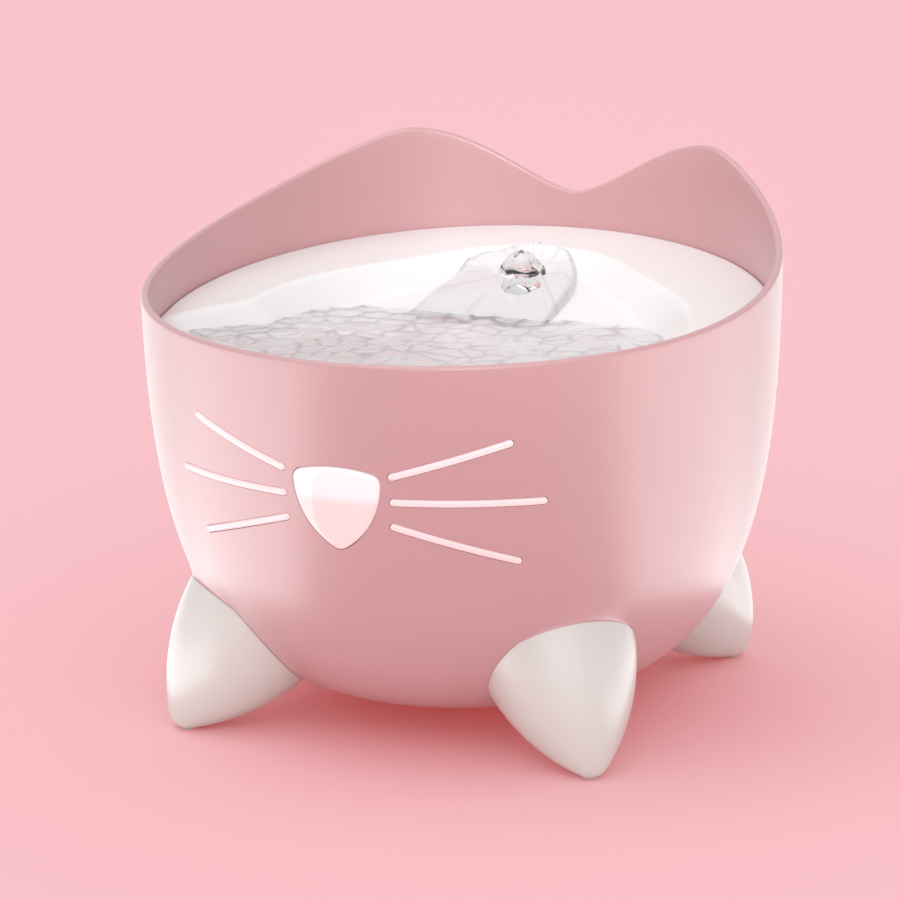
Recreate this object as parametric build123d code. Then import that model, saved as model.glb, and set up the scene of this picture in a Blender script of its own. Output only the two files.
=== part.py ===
from build123d import *
import math
import os

# Pet water fountain: a pink bowl on four feet, with a lift-off drinking tray, a
# filtered pump under it and a lit face in its front wall.
# Millimetres. The origin is on the bowl's axis at the floor, +Z is up, the face
# looks along -Y and the ears stand at +Y. An azimuth is in degrees from the nose,
# positive towards +X. "Inset" is a distance inwards from the bowl's outer surface.

# ---------------------------------------------------------------- bowl sizes
rim_r = 120.05              # outer radius where the wall runs vertical
side_top_z = 217.9          # height at which the side curve turns vertical
side_low_z = 7.7            # height at which the side curve would close on the axis
side_power = 3.59           # squareness of the side curve
base_z = 11.2               # underside of the flat bottom
wall = 3.0                  # moulded wall of the bowl
lip_round = 1.3             # rounding of both edges of the rim

ear_peak_z = 198.3          # height of the ears
ear_dip_z = 173.0           # height of the rim between the ears
rim_front_z = 156.0         # height of the rim over the nose
ear_angle = 33.0            # each ear's peak, from straight behind
ear_dip_power = 0.8         # below 1 makes the valley between the ears narrower
ear_fall = 41.6             # angle over which an ear runs out into the side rim
ear_fall_power = 1.33       # how sharply it starts to fall

# ---------------------------------------------------------------- feet
foot_azimuths = {"front_left": -46, "front_right": 46, "rear_left": -134, "rear_right": 134}
seam_r = 85.3               # centre of the foot's round top face, from the bowl's axis
seam_z = 37.7
foot_r = 29.0               # radius of that face
foot_tip_r = 7.5            # ball end of the foot
foot_reach = 111.6          # where the ball stands, from the bowl's axis
foot_bow_r = 83.0           # the foot's side bows out along an arc of this radius
foot_wall = 2.6
collar_wall = 2.8           # ring on the bowl that the foot closes against
collar_blend = 3.8          # soft rounding between the collar and the bowl
collar_share = 0.6          # part of that rounding's turn that is modelled: it meets the bowl at an angle
tab_width = 8.0             # tongues that centre the foot in the collar
tab_thick = 2.2
tab_reach = 3.5
tab_spread = 30.0
pad_r = 3.0                 # rubber pad in the tip of the foot
pad_step = 0.8              # how far the pad stands out of the foot
pad_sunk = 1.4              # how deep it is let in

# ---------------------------------------------------------------- face
nose_half = 16.6            # half the width between the nose's upper corners
nose_corner_z = 115.6
nose_top_z = 118.2
nose_tip_z = 86.6
nose_side_x = 13.6          # a point that the bowed sides pass through
nose_side_z = 100.2
nose_corner_round = 4.2
nose_proud = 1.3
nose_bevel = 0.9
whisker_width = 2.6
whisker_proud = 0.45
# start azimuth, start height, end azimuth, end height of each whisker
whiskers = [(10.4, 115.9, 30.7, 128.3), (10.5, 106.4, 36.8, 106.3), (10.4, 97.1, 32.5, 83.9)]
lens_plate = 1.2            # thin plate that carries the lenses inside the wall
nose_flange = 3.0
plate_margin = 1.6          # plate beyond the ends of the whiskers, in degrees
plate_over = 2.0            # and over and under their middle lines

# ---------------------------------------------------------------- tray
tray_mid_z = 146.7          # height of the tray's rear margin over the bowl's axis
tray_slope = 0.105          # rise of that margin towards the back
tray_front_z = 144.5        # height of the tray's edge in front
pool_floor_z = 130.5        # level floor of the drinking pool
ramp_mid_z = 132.1          # the floor rises from there to the outlet: height over the axis
ramp_slope = 0.1875
pool_edge = 3.5             # level edge in front of the drinking pool
scoop_side_r = 79.0         # the hollow's edge beside the outlet, from the bowl's axis
scoop_waist = 140.0         # azimuth at which it is nearest the axis
scoop_front_extra = 8.0     # how much further it reaches at the bowl's sides
scoop_back_extra = 10.0     # and straight behind the outlet
scoop_over = 14.0           # the cutter for the hollow goes this much over the margin
flare_azimuth = 75.0        # the hollow opens out into the pool from here forwards
flare_turn = 16.0
side_lean = 0.9             # run of the hollow's side for each millimetre of height
front_lean = 1.75
tray_thick = 2.6
tray_gap = 0.4              # between the tray's edge and the bowl
skirt_thick = 2.2
tray_rest_z = 134.0         # underside of the skirt, on the bowl's ribs
rib_azimuths = (55, 90, 125, 160)
rib_depth = 7.0
rib_width = 4.0
rib_height = 16.0
outlet_y = 60.0             # the water comes up here
outlet_r = 7.0
boss_wall = 2.4
drain_azimuths = (-24, -12, 0, 12, 24)
drain_length = 14.0
drain_width = 4.2
water_z = 139.0             # the drains hold the pool at this height

# ---------------------------------------------------------------- water way
riser_r = 6.0
riser_top_z = 134.0
seal_wall = 2.4
seal_length = 12.0

# ---------------------------------------------------------------- filter box
box_half = 32.0             # outer half width
box_front_y = 4.0
box_back_y = 78.0
box_top_z = 62.0
box_wall = 2.0
box_gap = 0.3               # between the box and the bowl
lid_thick = 2.4
lid_socket_height = 9.0
cover_gap = 0.3
cover_overlap = 10.0        # the cover's sides reach this far over the box
cover_depth = 15.0          # from the box's front edge to the cover's face
frame_depth = 11.0
frame_border = 3.2
frame_grip = 4.0
slot_pitch = 7.0
slot_width = 3.2

# ---------------------------------------------------------------- pump
motor_half = 19.0
motor_front_y = 19.0
motor_back_y = 53.0
motor_low_z = 23.0
motor_top_z = 59.0
motor_wall = 2.4
well_r = 7.5                # bore that the rotor turns in
well_wall = 1.0
rotor_z = 39.0
magnet_r = 6.9
shaft_r = 1.2
shaft_gap = 0.05
bush_r = 3.4
bush_length = 3.0
volute_r = 17.0
volute_wall = 2.0
volute_depth = 14.0
volute_flange = 3.0
impeller_r = 13.0
impeller_blades = 6
blade_thick = 1.2
intake_r = 8.0
spout_r = 4.5
spout_wall = 1.4
spout_top_z = 82.0
seal_track_r = 17.5
seal_ring_r = 0.7
dial_hole_r = 2.0
dial_lever = 4.0
dial_r = 12.0
dial_thick = 1.6
dial_slots = 3
cup_r = 5.5
cup_neck_r = 2.4
cup_x = 12.0
cup_inset_y = 7.0
core_thick = 16.0
leg_width = 5.5
bridge_height = 4.5
coil_wrap = 2.1

# ---------------------------------------------------------------- light box
light_azimuth = 46.0        # the light box covers the wall this far each side
light_low_z = 77.0
light_top_z = 132.6
light_depth = 13.0
light_wall = 2.0
gasket_thick = 0.8
post_azimuth = 42.0
post_low_z = 83.5
post_high_z = 126.0
post_r = 3.2
screw_r = 1.2
screw_head_r = 2.7
screw_head = 1.8
screw_bite = 6.0
board_half = 22.0
board_low_z = 92.0
board_top_z = 114.0
board_thick = 1.6
board_set_in = 8.961        # from the wall's inside to the board's rear face
stand_x = 17.0
led_size = (3.5, 1.4, 2.8)
led_x = (-16.0, 0.0, 16.0)
led_z = 104.0

# ---------------------------------------------------------------- inlet and leads
inlet_z = 115.0
jack_r = 5.5
jack_flange_r = 7.2
jack_flange = 1.4
jack_length = 14.0
seat_cut = 0.3              # the flange's flat seat goes this much below the wall's skin
socket_r = 2.85
socket_depth = 9.5
pin_r = 1.0
pin_length = 8.0
nut_half = 7.5
nut_thick = 3.0
lead_r = 1.6
light_lead_r = 1.2
light_lead_set_in = 8.16097 # from the wall's inside to the middle of the light box's lead
light_lead_z = 104.0
lead_offset_x = 2.9
clip_azimuths = (68, 100, 135)
clip_width = 5.0
clip_wall = 1.4

# ---------------------------------------------------------------- shared fits
slip = 0.1                  # between pieces that slide together once
touch = 0.05                # between pieces that are seated on each other

floor_z = base_z + wall     # inside floor of the reservoir
blank_top_z = ear_peak_z + 6


# ---------------------------------------------------------------- the bowl's surface
def side_at(t, inset):
    """Radius and height of the bowl's side at parameter t, inset along its normal."""
    height = side_top_z - side_low_z
    u = math.cos(t) ** (2 / side_power)
    v = math.sin(t) ** (2 / side_power)
    slope_r = u ** (side_power - 1) / rim_r
    slope_z = -(v ** (side_power - 1)) / height
    size = math.hypot(slope_r, slope_z)
    return rim_r * u - inset * slope_r / size, side_top_z - height * v - inset * slope_z / size


def side_r(z, inset=0.0):
    """Radius of the bowl's side at height z."""
    if z >= side_top_z:
        return rim_r - inset
    low, high = 0.0, math.pi / 2
    for _ in range(60):
        middle = (low + high) / 2
        if side_at(middle, inset)[1] > z:
            low = middle
        else:
            high = middle
    return side_at(low, inset)[0]


def round_body(inset, low_z, top_z):
    """Solid inside the bowl's side at an inset, between two heights."""
    steps = 14
    heights = [low_z + (top_z - low_z) * (k / steps) ** 2 for k in range(steps + 1)]
    side = [(side_r(z, inset), 0, z) for z in heights]
    edges = [
        Edge.make_line((0, 0, low_z), side[0]),
        Edge.make_spline(side),
        Edge.make_line(side[-1], (0, 0, top_z)),
        Edge.make_line((0, 0, top_z), (0, 0, low_z)),
    ]
    return revolve(Face(Wire(edges)), Axis.Z)


def layer(inset, thick, low_z, top_z):
    """Curved plate parallel to the bowl's side."""
    return round_body(inset, low_z, top_z) - round_body(inset + thick, low_z - 1, top_z + 1)


def polar(r, azimuth, z):
    a = math.radians(azimuth)
    return Vector(r * math.sin(a), -r * math.cos(a), z)


def radial_plane(azimuth, z=0.0):
    """Plane on the axis that looks out along an azimuth: its x runs level, its y up."""
    a = math.radians(azimuth)
    return Plane((0, 0, z), x_dir=(math.cos(a), math.sin(a), 0), z_dir=(math.sin(a), -math.cos(a), 0))


def cylinder(start, end, r):
    """Round bar from one point to another."""
    start, end = Vector(*start), Vector(*end)
    length = (end - start).length
    return Plane(start, z_dir=end - start) * Pos(0, 0, length / 2) * Cylinder(r, length)


def block(low, high):
    """Box between two corners."""
    sizes = [b - a for a, b in zip(low, high)]
    middle = [(a + b) / 2 for a, b in zip(low, high)]
    return Pos(*middle) * Box(*sizes)


def tube(start, end, r, bore):
    return cylinder(start, end, r) - cylinder(start, end, bore)


# ---------------------------------------------------------------- rim of the bowl
def rim_z(back_angle):
    """Height of the rim at an angle from straight behind."""
    angle = abs(back_angle)
    if angle <= ear_angle:
        rise = math.sin(math.pi / 2 * (angle / ear_angle) ** ear_dip_power) ** 2
        return ear_dip_z + (ear_peak_z - ear_dip_z) * rise
    fall = math.exp(-(((angle - ear_angle) / ear_fall) ** ear_fall_power))
    return rim_front_z + (ear_peak_z - rim_front_z) * fall


def above_rim():
    """Solid over the wavy rim, used to cut it."""
    inner, outer, step = rim_r / 2, rim_r + 30, 6
    angles = range(0, 360, step)
    marks = [k / len(angles) for k in range(len(angles) + 1)]
    rings = []
    for r in (inner, outer):
        points = [polar(r, 180 + a, rim_z(a if a <= 180 else 360 - a)) for a in angles]
        rings.append(Edge.make_spline(points, periodic=True, parameters=marks))
    height = blank_top_z - rim_front_z + 30
    return extrude(Face.make_surface_from_curves(rings[0], rings[1]), height, dir=(0, 0, 1))


# ---------------------------------------------------------------- tray surface
def smooth(t):
    t = min(max(t, 0.0), 1.0)
    return t * t * (3 - 2 * t)


def margin_z(y):
    return tray_mid_z + tray_slope * y


def scoop_edge_r(azimuth):
    """Radius of the tray hollow's upper edge: round the outlet, then flaring out into the pool."""
    front = side_r(tray_front_z, wall + tray_gap) - pool_edge
    round_r = scoop_side_r + scoop_front_extra * smooth((scoop_waist - azimuth) / 50)
    round_r += scoop_back_extra * smooth((azimuth - scoop_waist) / 35)
    return round_r + (front - round_r) * (1 - smooth((azimuth - flare_azimuth) / flare_turn))


def scoop_lean(azimuth):
    """How far the hollow's side leans out for each millimetre it rises."""
    return side_lean + (front_lean - side_lean) * (1 - smooth((azimuth - 60) / 50))


def scoop_ring(mid_z, slope, grow):
    """Closed outline in which the hollow's side meets a plane that rises towards the back."""
    points = []
    for azimuth in range(-180, 180, 5):
        edge = scoop_edge_r(abs(azimuth))
        edge_z = max(margin_z(polar(edge, azimuth, 0).Y), tray_front_z)
        rise = 1 / scoop_lean(abs(azimuth))
        r = (mid_z - edge_z + (edge + grow) * rise) / (rise + slope * math.cos(math.radians(azimuth)))
        spot = polar(r, azimuth, 0)
        points.append(Vector(spot.X, spot.Y, mid_z + slope * spot.Y))
    return Wire([Edge.make_spline(points, periodic=True)])


def scoop(drop):
    """Solid that fills the tray's hollow, or with a drop the outside of its wall."""
    foot = scoop_ring(ramp_mid_z - drop, ramp_slope, drop)
    top = scoop_ring(tray_mid_z + scoop_over, tray_slope, drop)
    far = 2 * rim_r
    return Solid.make_loft([foot, top], ruled=True) & block((-far, -far, pool_floor_z - drop),
        (far, far, blank_top_z))


def under_margin(drop):
    """Solid under the tray's margin: level in front, rising to the back."""
    far = 2 * rim_r
    bend = (tray_front_z - tray_mid_z) / tray_slope
    points = [(-far, tray_front_z - drop), (bend, tray_front_z - drop), (far, margin_z(far) - drop),
        (far, 0), (-far, 0)]
    face = Plane.YZ * make_face(Polyline(*points, close=True))
    return extrude(face, far, both=True)


# ---------------------------------------------------------------- feet
def leg_plane(azimuth):
    """Plane of a foot's top face: z points down the foot, x up the slope of the face."""
    start = polar(seam_r, azimuth, seam_z)
    tip = polar(foot_reach, azimuth, foot_tip_r)
    along = (tip - start).normalized()
    level = polar(1, azimuth + 90, 0)
    return Plane(start, x_dir=level.cross(along) * -1, z_dir=along)


foot_length = math.hypot(foot_reach - seam_r, seam_z - foot_tip_r)


def foot_profile(inset):
    """A foot's outside, or its hollow: one long arc that runs smoothly into a ball."""
    r, tip_r, bow_r = foot_r - inset, foot_tip_r - inset, foot_bow_r - inset
    end = foot_length - 2 * inset
    start, ball = Vector(r, 0, 0), Vector(0, 0, end)
    span = math.hypot(r, end)
    along = (bow_r ** 2 - (bow_r - tip_r) ** 2 + span ** 2) / (2 * span)
    aside = math.sqrt(bow_r ** 2 - along ** 2)
    centre = start + (ball - start) * (along / span) - Vector(end, 0, r) * (aside / span)
    touch_point = ball + (ball - centre).normalized() * tip_r
    half_way = centre + ((start - centre) + (touch_point - centre)).normalized() * bow_r
    round_way = ball + ((touch_point - ball).normalized() + Vector(0, 0, 1)).normalized() * tip_r
    tip = Vector(0, 0, end + tip_r)
    edges = [
        Edge.make_three_point_arc(start, half_way, touch_point),
        Edge.make_three_point_arc(touch_point, round_way, tip),
        Edge.make_line(tip, (0, 0, 0)),
        Edge.make_line((0, 0, 0), start),
    ]
    return revolve(Face(Wire(edges)), Axis.Z)


def foot_tabs():
    """Tongues at the high side of the foot, in its own plane."""
    outer = foot_r - collar_wall - slip
    tongue = block((outer - tab_thick, -tab_width / 2, -tab_reach), (outer, tab_width / 2, tab_width / 2))
    curve = cylinder((0, 0, -tab_reach), (0, 0, tab_width), outer)
    return [Rot(0, 0, a) * (tongue & curve) for a in (-tab_spread, 0, tab_spread)]


def pad_place(azimuth):
    return Pos(*polar(foot_reach, azimuth, 0))


def make_pads():
    """Rubber pads, let into the tips of the feet."""
    height = pad_step + pad_sunk
    pad = Pos(0, 0, height / 2) * Cylinder(pad_r, height)
    pad = chamfer(pad.edges().sort_by(Axis.Z)[0], pad_step / 2)
    return [pad_place(a) * pad for a in foot_azimuths.values()]


def collar_section(x, z):
    """Radius and height, in the bowl, of a point in a foot's plane: x up the slope, z down the foot."""
    along_r, along_z = (foot_reach - seam_r) / foot_length, (foot_tip_r - seam_z) / foot_length
    return seam_r - x * along_z + z * along_r, seam_z + x * along_r + z * along_z


def collar_meet():
    """How far up its own axis the collar's high side runs before it meets the bowl."""
    low, high = -2 * foot_r, 0.0
    for _ in range(50):
        middle = (low + high) / 2
        r, z = collar_section(foot_r, middle)
        if r < side_r(z):
            low = middle
        else:
            high = middle
    return high


def make_collar(azimuth):
    """Ring that stands out of the bowl to meet the foot, flared where it is tallest."""
    meet = collar_meet()
    z = collar_section(foot_r, meet)[1]
    bowl_lean = math.atan2(side_r(z + 1) - side_r(z - 1), 2)
    foot_lean = math.atan2(foot_reach - seam_r, seam_z - foot_tip_r)
    turn = bowl_lean + foot_lean
    start = meet + collar_blend * math.tan(turn / 2)
    points = []
    for share in (0.0, collar_share / 2, collar_share):
        a = turn * share
        points.append((foot_r + collar_blend * (1 - math.cos(a)), 0, start - collar_blend * math.sin(a)))
    far = foot_r / 2
    end = (points[2][0] + far * math.sin(turn * collar_share), 0,
        points[2][2] - far * math.cos(turn * collar_share))
    edges = [
        Edge.make_line((0, 0, 0), (foot_r, 0, 0)),
        Edge.make_line((foot_r, 0, 0), points[0]),
        Edge.make_three_point_arc(*points),
        Edge.make_line(points[2], end),
        Edge.make_line(end, (0, 0, end[2])),
        Edge.make_line((0, 0, end[2]), (0, 0, 0)),
    ]
    ring = revolve(Face(Wire(edges)), Axis.Z)
    return leg_plane(azimuth) * (ring - cylinder((0, 0, end[2] - 1), (0, 0, 1), foot_r - collar_wall))


# ---------------------------------------------------------------- face in the front wall
def nose_outline(grow=0.0):
    """Rounded triangle, point down, in the plane that looks along the nose."""
    corner_l, corner_r = (-nose_half, nose_corner_z), (nose_half, nose_corner_z)
    tip = (0, nose_tip_z)
    top = ThreePointArc(corner_l, (0, nose_top_z), corner_r)
    right = ThreePointArc(corner_r, (nose_side_x, nose_side_z), tip)
    left = ThreePointArc(tip, (-nose_side_x, nose_side_z), corner_l)
    face = make_face([top, right, left])
    if grow:
        face = offset(face, grow, kind=Kind.INTERSECTION)
    return fillet(face.vertices(), nose_corner_round + grow)


def nose_bar(grow=0.0):
    """The nose's outline run through the wall, level."""
    return extrude(radial_plane(0) * nose_outline(grow), rim_r + 20)


def whisker_bar(side, ends, grow=0.0):
    """One whisker's outline run through the wall, square to it at the whisker's middle."""
    start, start_z, end, end_z = ends
    middle = (start + end) / 2
    spots = []
    for azimuth, z in ((start, start_z), (end, end_z)):
        spots.append(Vector(side * side_r(z) * math.sin(math.radians(azimuth - middle)), z))
    run = spots[1] - spots[0]
    angle = math.degrees(math.atan2(run.Y, run.X))
    centre = (spots[0] + spots[1]) / 2
    width = whisker_width + 2 * grow
    outline = Pos(centre.X, centre.Y) * Rot(0, 0, angle) * SlotOverall(run.length + width, width)
    return extrude(radial_plane(side * middle) * outline, rim_r + 20)


def front_window(azimuth_a, azimuth_b, low_z, top_z):
    """Wedge in front of the axis between two azimuths and two heights."""
    far = rim_r * 2
    points = [(0, 0, low_z), tuple(polar(far, azimuth_a, low_z)), tuple(polar(far, azimuth_b, low_z))]
    wedge = extrude(make_face(Polyline(*points, close=True)), top_z - low_z, dir=(0, 0, 1))
    return wedge


def make_nose():
    """Bevelled lens that fills its hole and is held by a flange behind the wall."""
    bar = round_body(-nose_proud, light_low_z, light_top_z)
    bar -= round_body(wall + 2 * touch, light_low_z - 1, light_top_z + 1)
    lens = nose_bar() & bar
    front = [e for e in lens.edges() if e.center().Y < -side_r(e.center().Z, wall / 2)]
    lens = chamfer(front_loop(front), nose_bevel)
    flange = nose_bar(nose_flange) & layer(wall + touch, lens_plate, light_low_z, light_top_z)
    return lens + flange


def front_loop(edges):
    """The edges of a loop round the lens's face, leaving out those that run through the wall."""
    return [e for e in edges if abs(e.tangent_at(0.5).Y) < 0.5]


def make_whiskers(side):
    """Three bars on one thin plate that follows the inside of the wall."""
    proud = layer(-whisker_proud, wall + whisker_proud + 2 * touch, light_low_z, light_top_z)
    start = min(w[0] for w in whiskers)
    end = max(w[2] for w in whiskers)
    low = min(w[3] for w in whiskers) - plate_over
    high = max(w[3] for w in whiskers) + plate_over
    span = sorted((side * (start - plate_margin), side * (end + plate_margin)))
    plate = layer(wall + touch, lens_plate, light_low_z, light_top_z) & front_window(*span, low, high)
    for ends in whiskers:
        plate += whisker_bar(side, ends) & proud
    return plate - (nose_bar(nose_flange + slip) & round_body(wall, light_low_z, light_top_z))


def light_shell(inset, thick, shrink):
    """Curved slab over the light box's window, shrunk from its edges."""
    azimuth = light_azimuth - math.degrees(shrink / side_r(light_top_z, wall))
    window = front_window(-azimuth, azimuth, light_low_z + shrink, light_top_z - shrink)
    return layer(inset, thick, light_low_z - 2, light_top_z + 2) & window


def post_spots():
    return [(side * post_azimuth, z) for side in (-1, 1) for z in (post_low_z, post_high_z)]


def radial_bar(azimuth, z, outer_r, inner_r, r):
    return cylinder(polar(outer_r, azimuth, z), polar(inner_r, azimuth, z), r)


def light_post(azimuth, z):
    """Boss inside the wall with a blind hole for one of the light box's screws."""
    inset = wall + light_depth - light_wall
    tip, root = side_r(z, inset), side_r(z, wall / 2)
    post = radial_bar(azimuth, z, root, tip - post_r, post_r) - round_body(inset - touch,
        light_low_z - 9, light_top_z + 9)
    return post, radial_bar(azimuth, z, tip + screw_bite + 1, tip - post_r, screw_r + touch)


def make_light_cover():
    """White shell that seals the lenses and the board off from the water."""
    cover = light_shell(wall + gasket_thick + touch, light_depth - gasket_thick - touch, 0)
    cover -= light_shell(wall - 1, light_depth - light_wall + 1, light_wall)
    for azimuth, z in post_spots():
        inner = side_r(z, wall + light_depth) - 2
        cover -= radial_bar(azimuth, z, side_r(z), inner, screw_r + 3 * slip)
        seat = side_r(z, wall + light_depth) + screw_head / 3
        cover -= radial_bar(azimuth, z, seat, inner, screw_head_r + slip)
    for x in (-stand_x, stand_x):
        back = Vector(x, -math.sqrt(side_r(led_z, wall + light_depth - light_wall / 2) ** 2 - x * x), led_z)
        cover += cylinder(back, (x, board_rear_y() + touch, led_z), post_r)
    hole = polar(light_lead_track_r(), light_azimuth, light_lead_z)
    cover -= cylinder(hole - light_lead_way() * light_wall * 3,
        hole + light_lead_way() * light_wall * 3, light_lead_r + slip)
    return cover


def board_rear_y():
    """Rear face of the board, set in from the wall behind the lenses."""
    return board_set_in - side_r(led_z, wall)


def light_lead_track_r():
    """Radius of the light box's lead on its way round the inside of the wall."""
    return side_r(light_lead_z, wall) - light_lead_set_in


def light_lead_way():
    """Direction of the light box's lead where it leaves the box."""
    return polar(1, light_azimuth + 90, 0)


def make_light_gasket():
    return light_shell(wall + touch, gasket_thick - touch, 0) - light_shell(wall - 1, gasket_thick + 3,
        light_wall)


def make_cover_screws():
    screws = []
    for azimuth, z in post_spots():
        seat = side_r(z, wall + light_depth) + screw_head / 3
        head = radial_bar(azimuth, z, seat - touch, seat - touch - screw_head, screw_head_r)
        end = side_r(z, wall + light_depth - light_wall) + screw_bite
        shank = radial_bar(azimuth, z, end, seat - touch - screw_head / 2, screw_r)
        cross = radial_bar(azimuth, z, seat - screw_head / 2, seat - screw_head * 2, screw_r * 0.9)
        screws.append(head + shank - cross)
    return screws


def make_light_board():
    rear = board_rear_y()
    return block((-board_half, rear - board_thick, board_low_z), (board_half, rear, board_top_z))


def make_leds():
    wide, deep, tall = led_size
    front = board_rear_y() - board_thick
    return [block((x - wide / 2, front - deep, led_z - tall / 2),
        (x + wide / 2, front, led_z + tall / 2)) for x in led_x]


# ---------------------------------------------------------------- bowl
def make_rib(azimuth):
    """Upright rib inside the wall that the tray stands on."""
    outer = side_r(tray_rest_z, wall / 2)
    inner = side_r(tray_rest_z, wall) - rib_depth
    low = tray_rest_z - rib_height
    points = [(outer, low - rib_depth), (side_r(low, wall), low - rib_depth), (inner, low),
        (inner, tray_rest_z), (outer, tray_rest_z)]
    plane = radial_plane(azimuth)
    face = make_face(Polyline(*points, close=True))
    upright = Plane(plane.origin, x_dir=plane.z_dir, z_dir=-plane.x_dir)
    return upright * extrude(face, rib_width / 2, both=True) & round_body(wall / 2, low - rib_depth - 5,
        tray_rest_z + 1)


def make_bowl():
    """Reservoir, drinking rim and ears in one moulding, with the collars for the feet."""
    bowl = round_body(0, base_z, blank_top_z) - round_body(wall, floor_z, blank_top_z + 5) - above_rim()
    lip = [e for e in bowl.edges() if e.bounding_box().max.Z > rim_front_z + 5 and e.length > rim_r * 3]
    bowl = fillet(lip, lip_round)
    core = round_body(wall / 2, base_z + wall / 2, blank_top_z)
    for azimuth in foot_azimuths.values():
        bowl += make_collar(azimuth) - core
    for azimuth in rib_azimuths:
        for side in (-1, 1):
            bowl += make_rib(side * azimuth)
    for azimuth, z in post_spots():
        post, bore = light_post(azimuth, z)
        bowl += post
        bowl -= bore
    bowl -= nose_bar(slip)
    for ends in whiskers:
        for side in (-1, 1):
            bowl -= whisker_bar(side, ends, slip)
    wall_y = side_r(inlet_z)
    bowl -= cylinder((0, wall_y - 4 * wall, inlet_z), (0, wall_y + wall, inlet_z), jack_r + slip)
    seat = wall_y - flat_depth()
    bowl -= cylinder((0, seat, inlet_z), (0, seat + 3 * wall, inlet_z), jack_flange_r + slip)
    return bowl


def flat_depth():
    """How far the inlet's flat seat is cut into the curved wall."""
    edge = math.sqrt(side_r(inlet_z - jack_flange_r) ** 2 - jack_flange_r ** 2)
    return side_r(inlet_z) - edge + seat_cut


def make_foot(azimuth):
    """Hollow white cone with a ball end, trimmed where the bowl's belly reaches into it."""
    foot = foot_profile(0) - foot_profile(foot_wall)
    for tab in foot_tabs():
        foot += tab
    foot = leg_plane(azimuth) * foot
    under = block((-rim_r * 2, -rim_r * 2, -foot_r), (rim_r * 2, rim_r * 2, pad_step))
    recess = Pos(0, 0, (pad_step + pad_sunk) / 2) * Cylinder(pad_r + slip, pad_step + pad_sunk)
    return foot - under - pad_place(azimuth) * recess - round_body(-slip, base_z - slip, blank_top_z)


# ---------------------------------------------------------------- tray
def make_tray():
    """White tray: a margin and a dished hollow, with a skirt, an outlet boss and drain slots."""
    low = pool_floor_z - tray_thick - 2
    body = round_body(wall + tray_gap, low, blank_top_z) & under_margin(0)
    skirt = body - round_body(wall + tray_gap + skirt_thick, low - 1, blank_top_z + 1)
    skirt -= block((-rim_r * 2, -rim_r * 2, 0), (rim_r * 2, rim_r * 2, tray_rest_z))
    tray = (body - under_margin(tray_thick)) + skirt + (scoop(tray_thick) & body)
    under = ramp_mid_z + ramp_slope * outlet_y - tray_thick / 2
    tray += cylinder((0, outlet_y, seal_low_z() - touch), (0, outlet_y, under), seal_r() + slip + boss_wall)
    tray -= scoop(0)
    tray -= cylinder((0, outlet_y, 0), (0, outlet_y, seal_low_z() + seal_length + touch), seal_r() + slip)
    tray -= cylinder((0, outlet_y, 0), (0, outlet_y, blank_top_z), outlet_r)
    for azimuth in drain_azimuths:
        tray -= drain_slot(azimuth)
    return tray


def seal_low_z():
    return riser_top_z - seal_length + 2


def seal_r():
    return riser_r + seal_wall


def drain_r():
    """Radius at which the front of the hollow stands at the water's height."""
    return scoop_edge_r(0) - front_lean * (tray_front_z - water_z)


def drain_slot(azimuth):
    """Upright slot through the hollow's front slope: its lower edge sets the water's height."""
    r = drain_r() + drain_width / 2
    outline = Rot(0, 0, azimuth) * Pos(0, -r) * SlotOverall(drain_length, drain_width)
    return Pos(0, 0, tray_rest_z - 3 * tray_thick) * extrude(outline, blank_top_z)


def make_seal():
    """Silicone sleeve in the tray's boss that slips over the riser."""
    low = seal_low_z()
    return tube((0, outlet_y, low), (0, outlet_y, low + seal_length), seal_r(), riser_r + shaft_gap)


def make_riser():
    return tube((0, outlet_y, lid_top_z() + touch), (0, outlet_y, riser_top_z), riser_r, spout_r + slip)


# ---------------------------------------------------------------- filter box
def lid_top_z():
    return box_top_z + lid_thick


def make_box():
    """Open-fronted box round the pump, shaped to the bowl's floor."""
    low = floor_z
    outer = block((-box_half, box_front_y, low), (box_half, box_back_y, box_top_z))
    outer &= round_body(wall + box_gap, floor_z + box_gap, box_top_z + 5)
    inner = block((-box_half + box_wall, box_front_y - 1, low),
        (box_half - box_wall, box_back_y - box_wall, box_top_z + 1))
    inner &= round_body(wall + box_gap + box_wall, box_floor_z(), box_top_z + 5)
    return outer - inner


def box_floor_z():
    return floor_z + box_gap + box_wall


def make_lid():
    """Lid with a lip inside the box, a socket for the riser and a hole for the lead."""
    lid = block((-box_half, box_front_y, box_top_z), (box_half, box_back_y, lid_top_z()))
    gap = box_wall + slip
    lip = block((-box_half + gap, box_front_y, box_top_z - box_wall),
        (box_half - gap, box_back_y - gap, box_top_z))
    lip -= block((-box_half + 2 * gap, box_front_y - 1, 0),
        (box_half - 2 * gap, box_back_y - 2 * gap, box_top_z))
    lid += lip
    socket = riser_r + slip
    lid += cylinder((0, outlet_y, box_top_z), (0, outlet_y, lid_top_z() + lid_socket_height),
        socket + box_wall)
    lid -= cylinder((0, outlet_y, lid_top_z()), (0, outlet_y, blank_top_z), socket)
    lid -= cylinder((0, outlet_y, 0), (0, outlet_y, blank_top_z), spout_r + slip)
    lid -= cylinder((lead_exit_x, lead_exit_y, 0), (lead_exit_x, lead_exit_y, blank_top_z), lead_r + 4 * slip)
    return lid


def slots(count_half, low_z, top_z, depth_a, depth_b):
    """Row of upright slots centred on the middle."""
    row = []
    count = int(count_half // slot_pitch)
    for k in range(-count, count + 1):
        x = k * slot_pitch
        row.append(block((x - slot_width / 2, depth_a, low_z), (x + slot_width / 2, depth_b, top_z)))
    return row


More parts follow.
